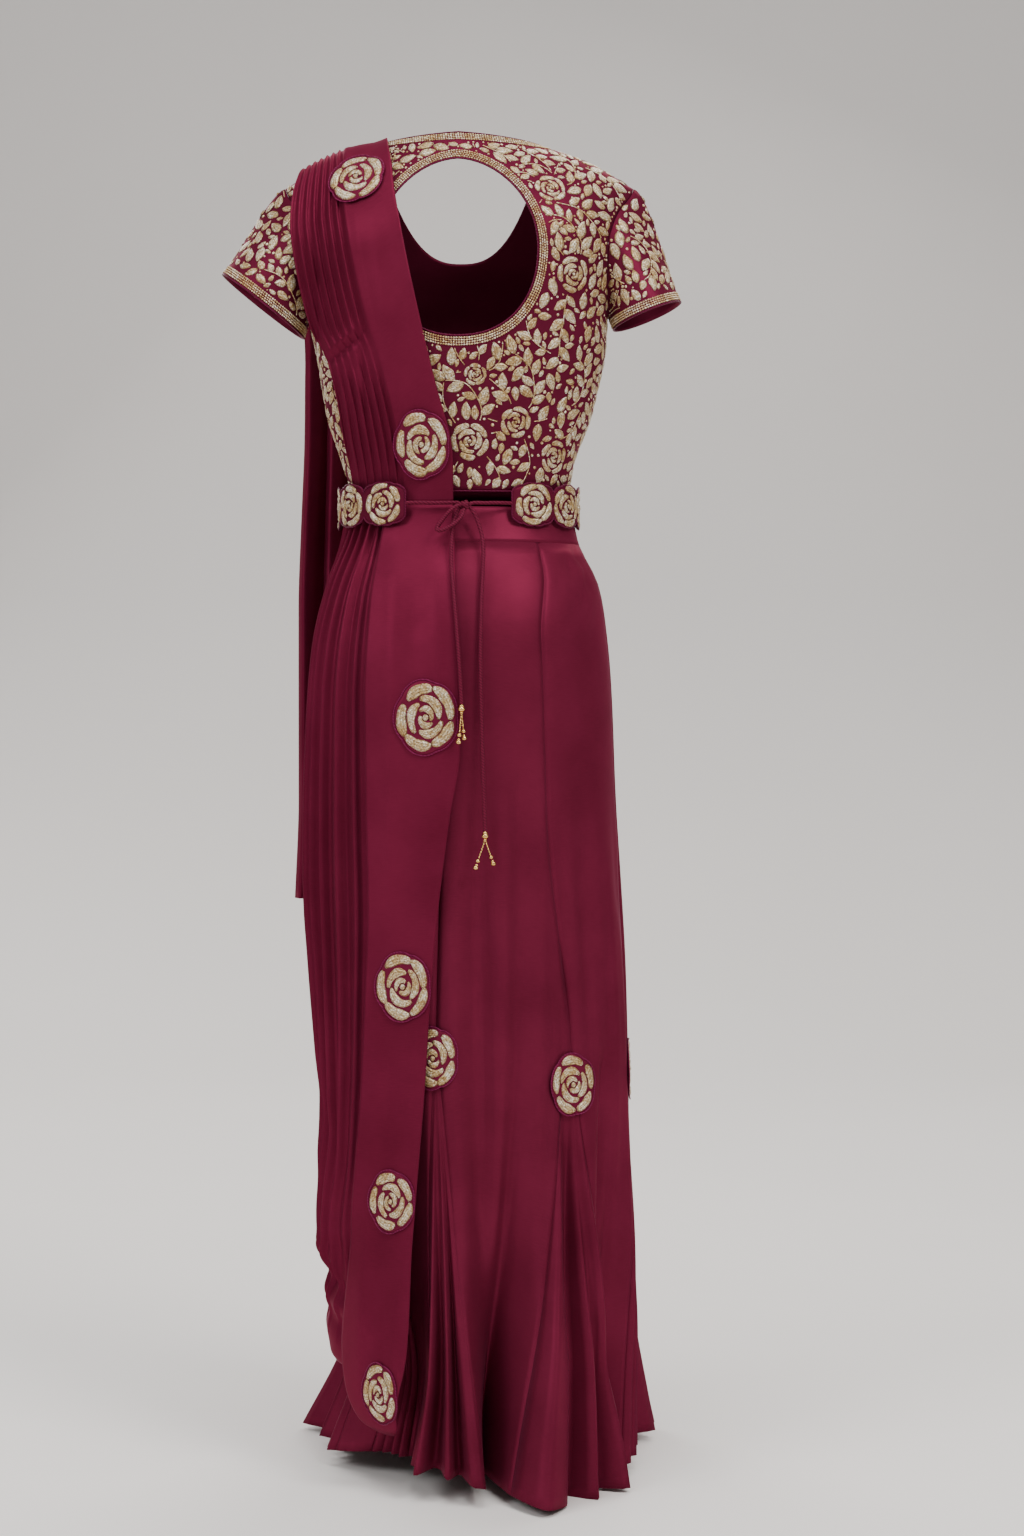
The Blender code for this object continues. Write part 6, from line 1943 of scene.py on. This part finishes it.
def belt_end(angle, inward):
    """The middle of the belt's end face, moved out by the seam's gap."""
    outer = belt_point(angle, CORD_LEVEL)
    beside = belt_point(angle + inward, CORD_LEVEL)
    back = (outer - beside).normalized()
    across = Vector((-back.y, back.x, 0.0))
    if across.y > 0:
        across.negate()
    return outer + across * (BELT_THICKNESS / 2) + back * SEAM_GAP


def knot_face(direction):
    return world(*KNOT) + Vector(direction).normalized() * (KNOT_RADIUS + SEAM_GAP)


def route_of(points, start, end=None):
    route = [start] + [world(*point) for point in points] + ([end] if end else [])
    return smooth_route(route, CORD_DIAMETER * 0.8)


def tie(name, route, node):
    """A silk cord along its route, with its length."""
    curve = thread_curve(name, [route], CORD_DIAMETER / 2, 3)
    length = sum((b - a).length for a, b in zip(route, route[1:]))
    return put_on(linked(name, curve, tie_cord), "cord", node), length


def bead_mesh(bm, centre, radius, half_length, axis):
    """A round bead stretched along an axis."""
    made = bmesh.ops.create_uvsphere(bm, u_segments=14, v_segments=9, radius=1.0)["verts"]
    turn = axis.to_track_quat("Z", "Y").to_matrix()
    for vertex in made:
        local = Vector((vertex.co.x * radius, vertex.co.y * radius, vertex.co.z * half_length))
        vertex.co = centre + turn @ local


def tassel(name, at, splay, surface):
    """A gold cap and bead, then two thin strands of tiny tube beads with a small cluster at each end."""
    top = world(*at)
    bm = bmesh.new()
    down = Vector((0.0, 0.0, -1.0))
    for drop, radius, half in TASSEL_HEAD:
        bead_mesh(bm, top + down * drop, radius, half, down)
    for side in (-1, 1):
        lean = Vector((side * splay, 0.10 * side, -1.0)).normalized()
        foot = top + down * TASSEL_HEAD[-1][0]
        for k in range(TASSEL_TUBES):
            drop = mix(*TUBES_FROM_TO, k / (TASSEL_TUBES - 1))
            bead_mesh(bm, foot + lean * drop, *TUBE_SIZE, lean)
        for drop, radius, half in TASSEL_END:
            bead_mesh(bm, foot + lean * (drop - 0.0090 + 0.0020 * side), radius * 0.8, half * 0.8, lean)
    bmesh.ops.recalc_face_normals(bm, faces=bm.faces)
    return from_bmesh(name, bm, surface)


def bead_gold():
    surface, tree, shader, where = new_material("bead_gold", Roughness=0.24, Metallic=1.0)
    wear = noise(tree, where["Object"], 420.0, 2.0)
    plug(tree, shader, Base_Color=ramp(tree, wear, ((0.35, BEAD_SHADE), (0.65, BEAD_GOLD))))
    return surface


tie_cord = cord_surface("tie_cord", CORD_WINE, CORD_DEEP)
tie_gold = bead_gold()
for side, points, angle, inward, splay in (
    ("left", LEFT_CORD, BELT_START, 1.0, 0.10),
    ("right", RIGHT_CORD, BELT_END, -1.0, 0.34),
):
    beads = put_on(tassel(f"{side}_tassel_beads", points[-1], splay, tie_gold), "tassel", f"tassel_{side}")
    route = route_of(points, start=belt_end(angle, inward))
    cord, length = tie(f"{side}_tie", route, f"tie_cord_{side}")
    tuple(route[0])
route = route_of(BOW_LOOP, start=knot_face(BOW_LEAVES), end=knot_face(BOW_RETURNS))
bow, length = tie("bow_loop", route, "tie_bow")
tuple(route[0])


def knot_wraps():
    """The knot: three turns of cord wound over each other."""
    middle = world(*KNOT)
    wraps = []
    for tilt, lean in KNOT_TURNS:
        axis = Vector((math.cos(tilt), lean, math.sin(tilt))).normalized()
        side = axis.orthogonal().normalized()
        up = axis.cross(side)
        size = KNOT_RADIUS - CORD_DIAMETER / 2 + 0.0004
        turns = [2 * math.pi * i / 28 for i in range(28)]
        wraps.append([middle + (side * math.cos(t) + up * math.sin(t)) * size for t in turns])
    return wraps


knot = tubes("knot_wraps", knot_wraps(), CORD_DIAMETER / 2, tie_cord, closed=True, sides=3)
put_on(knot, "cord", "tie_knot")
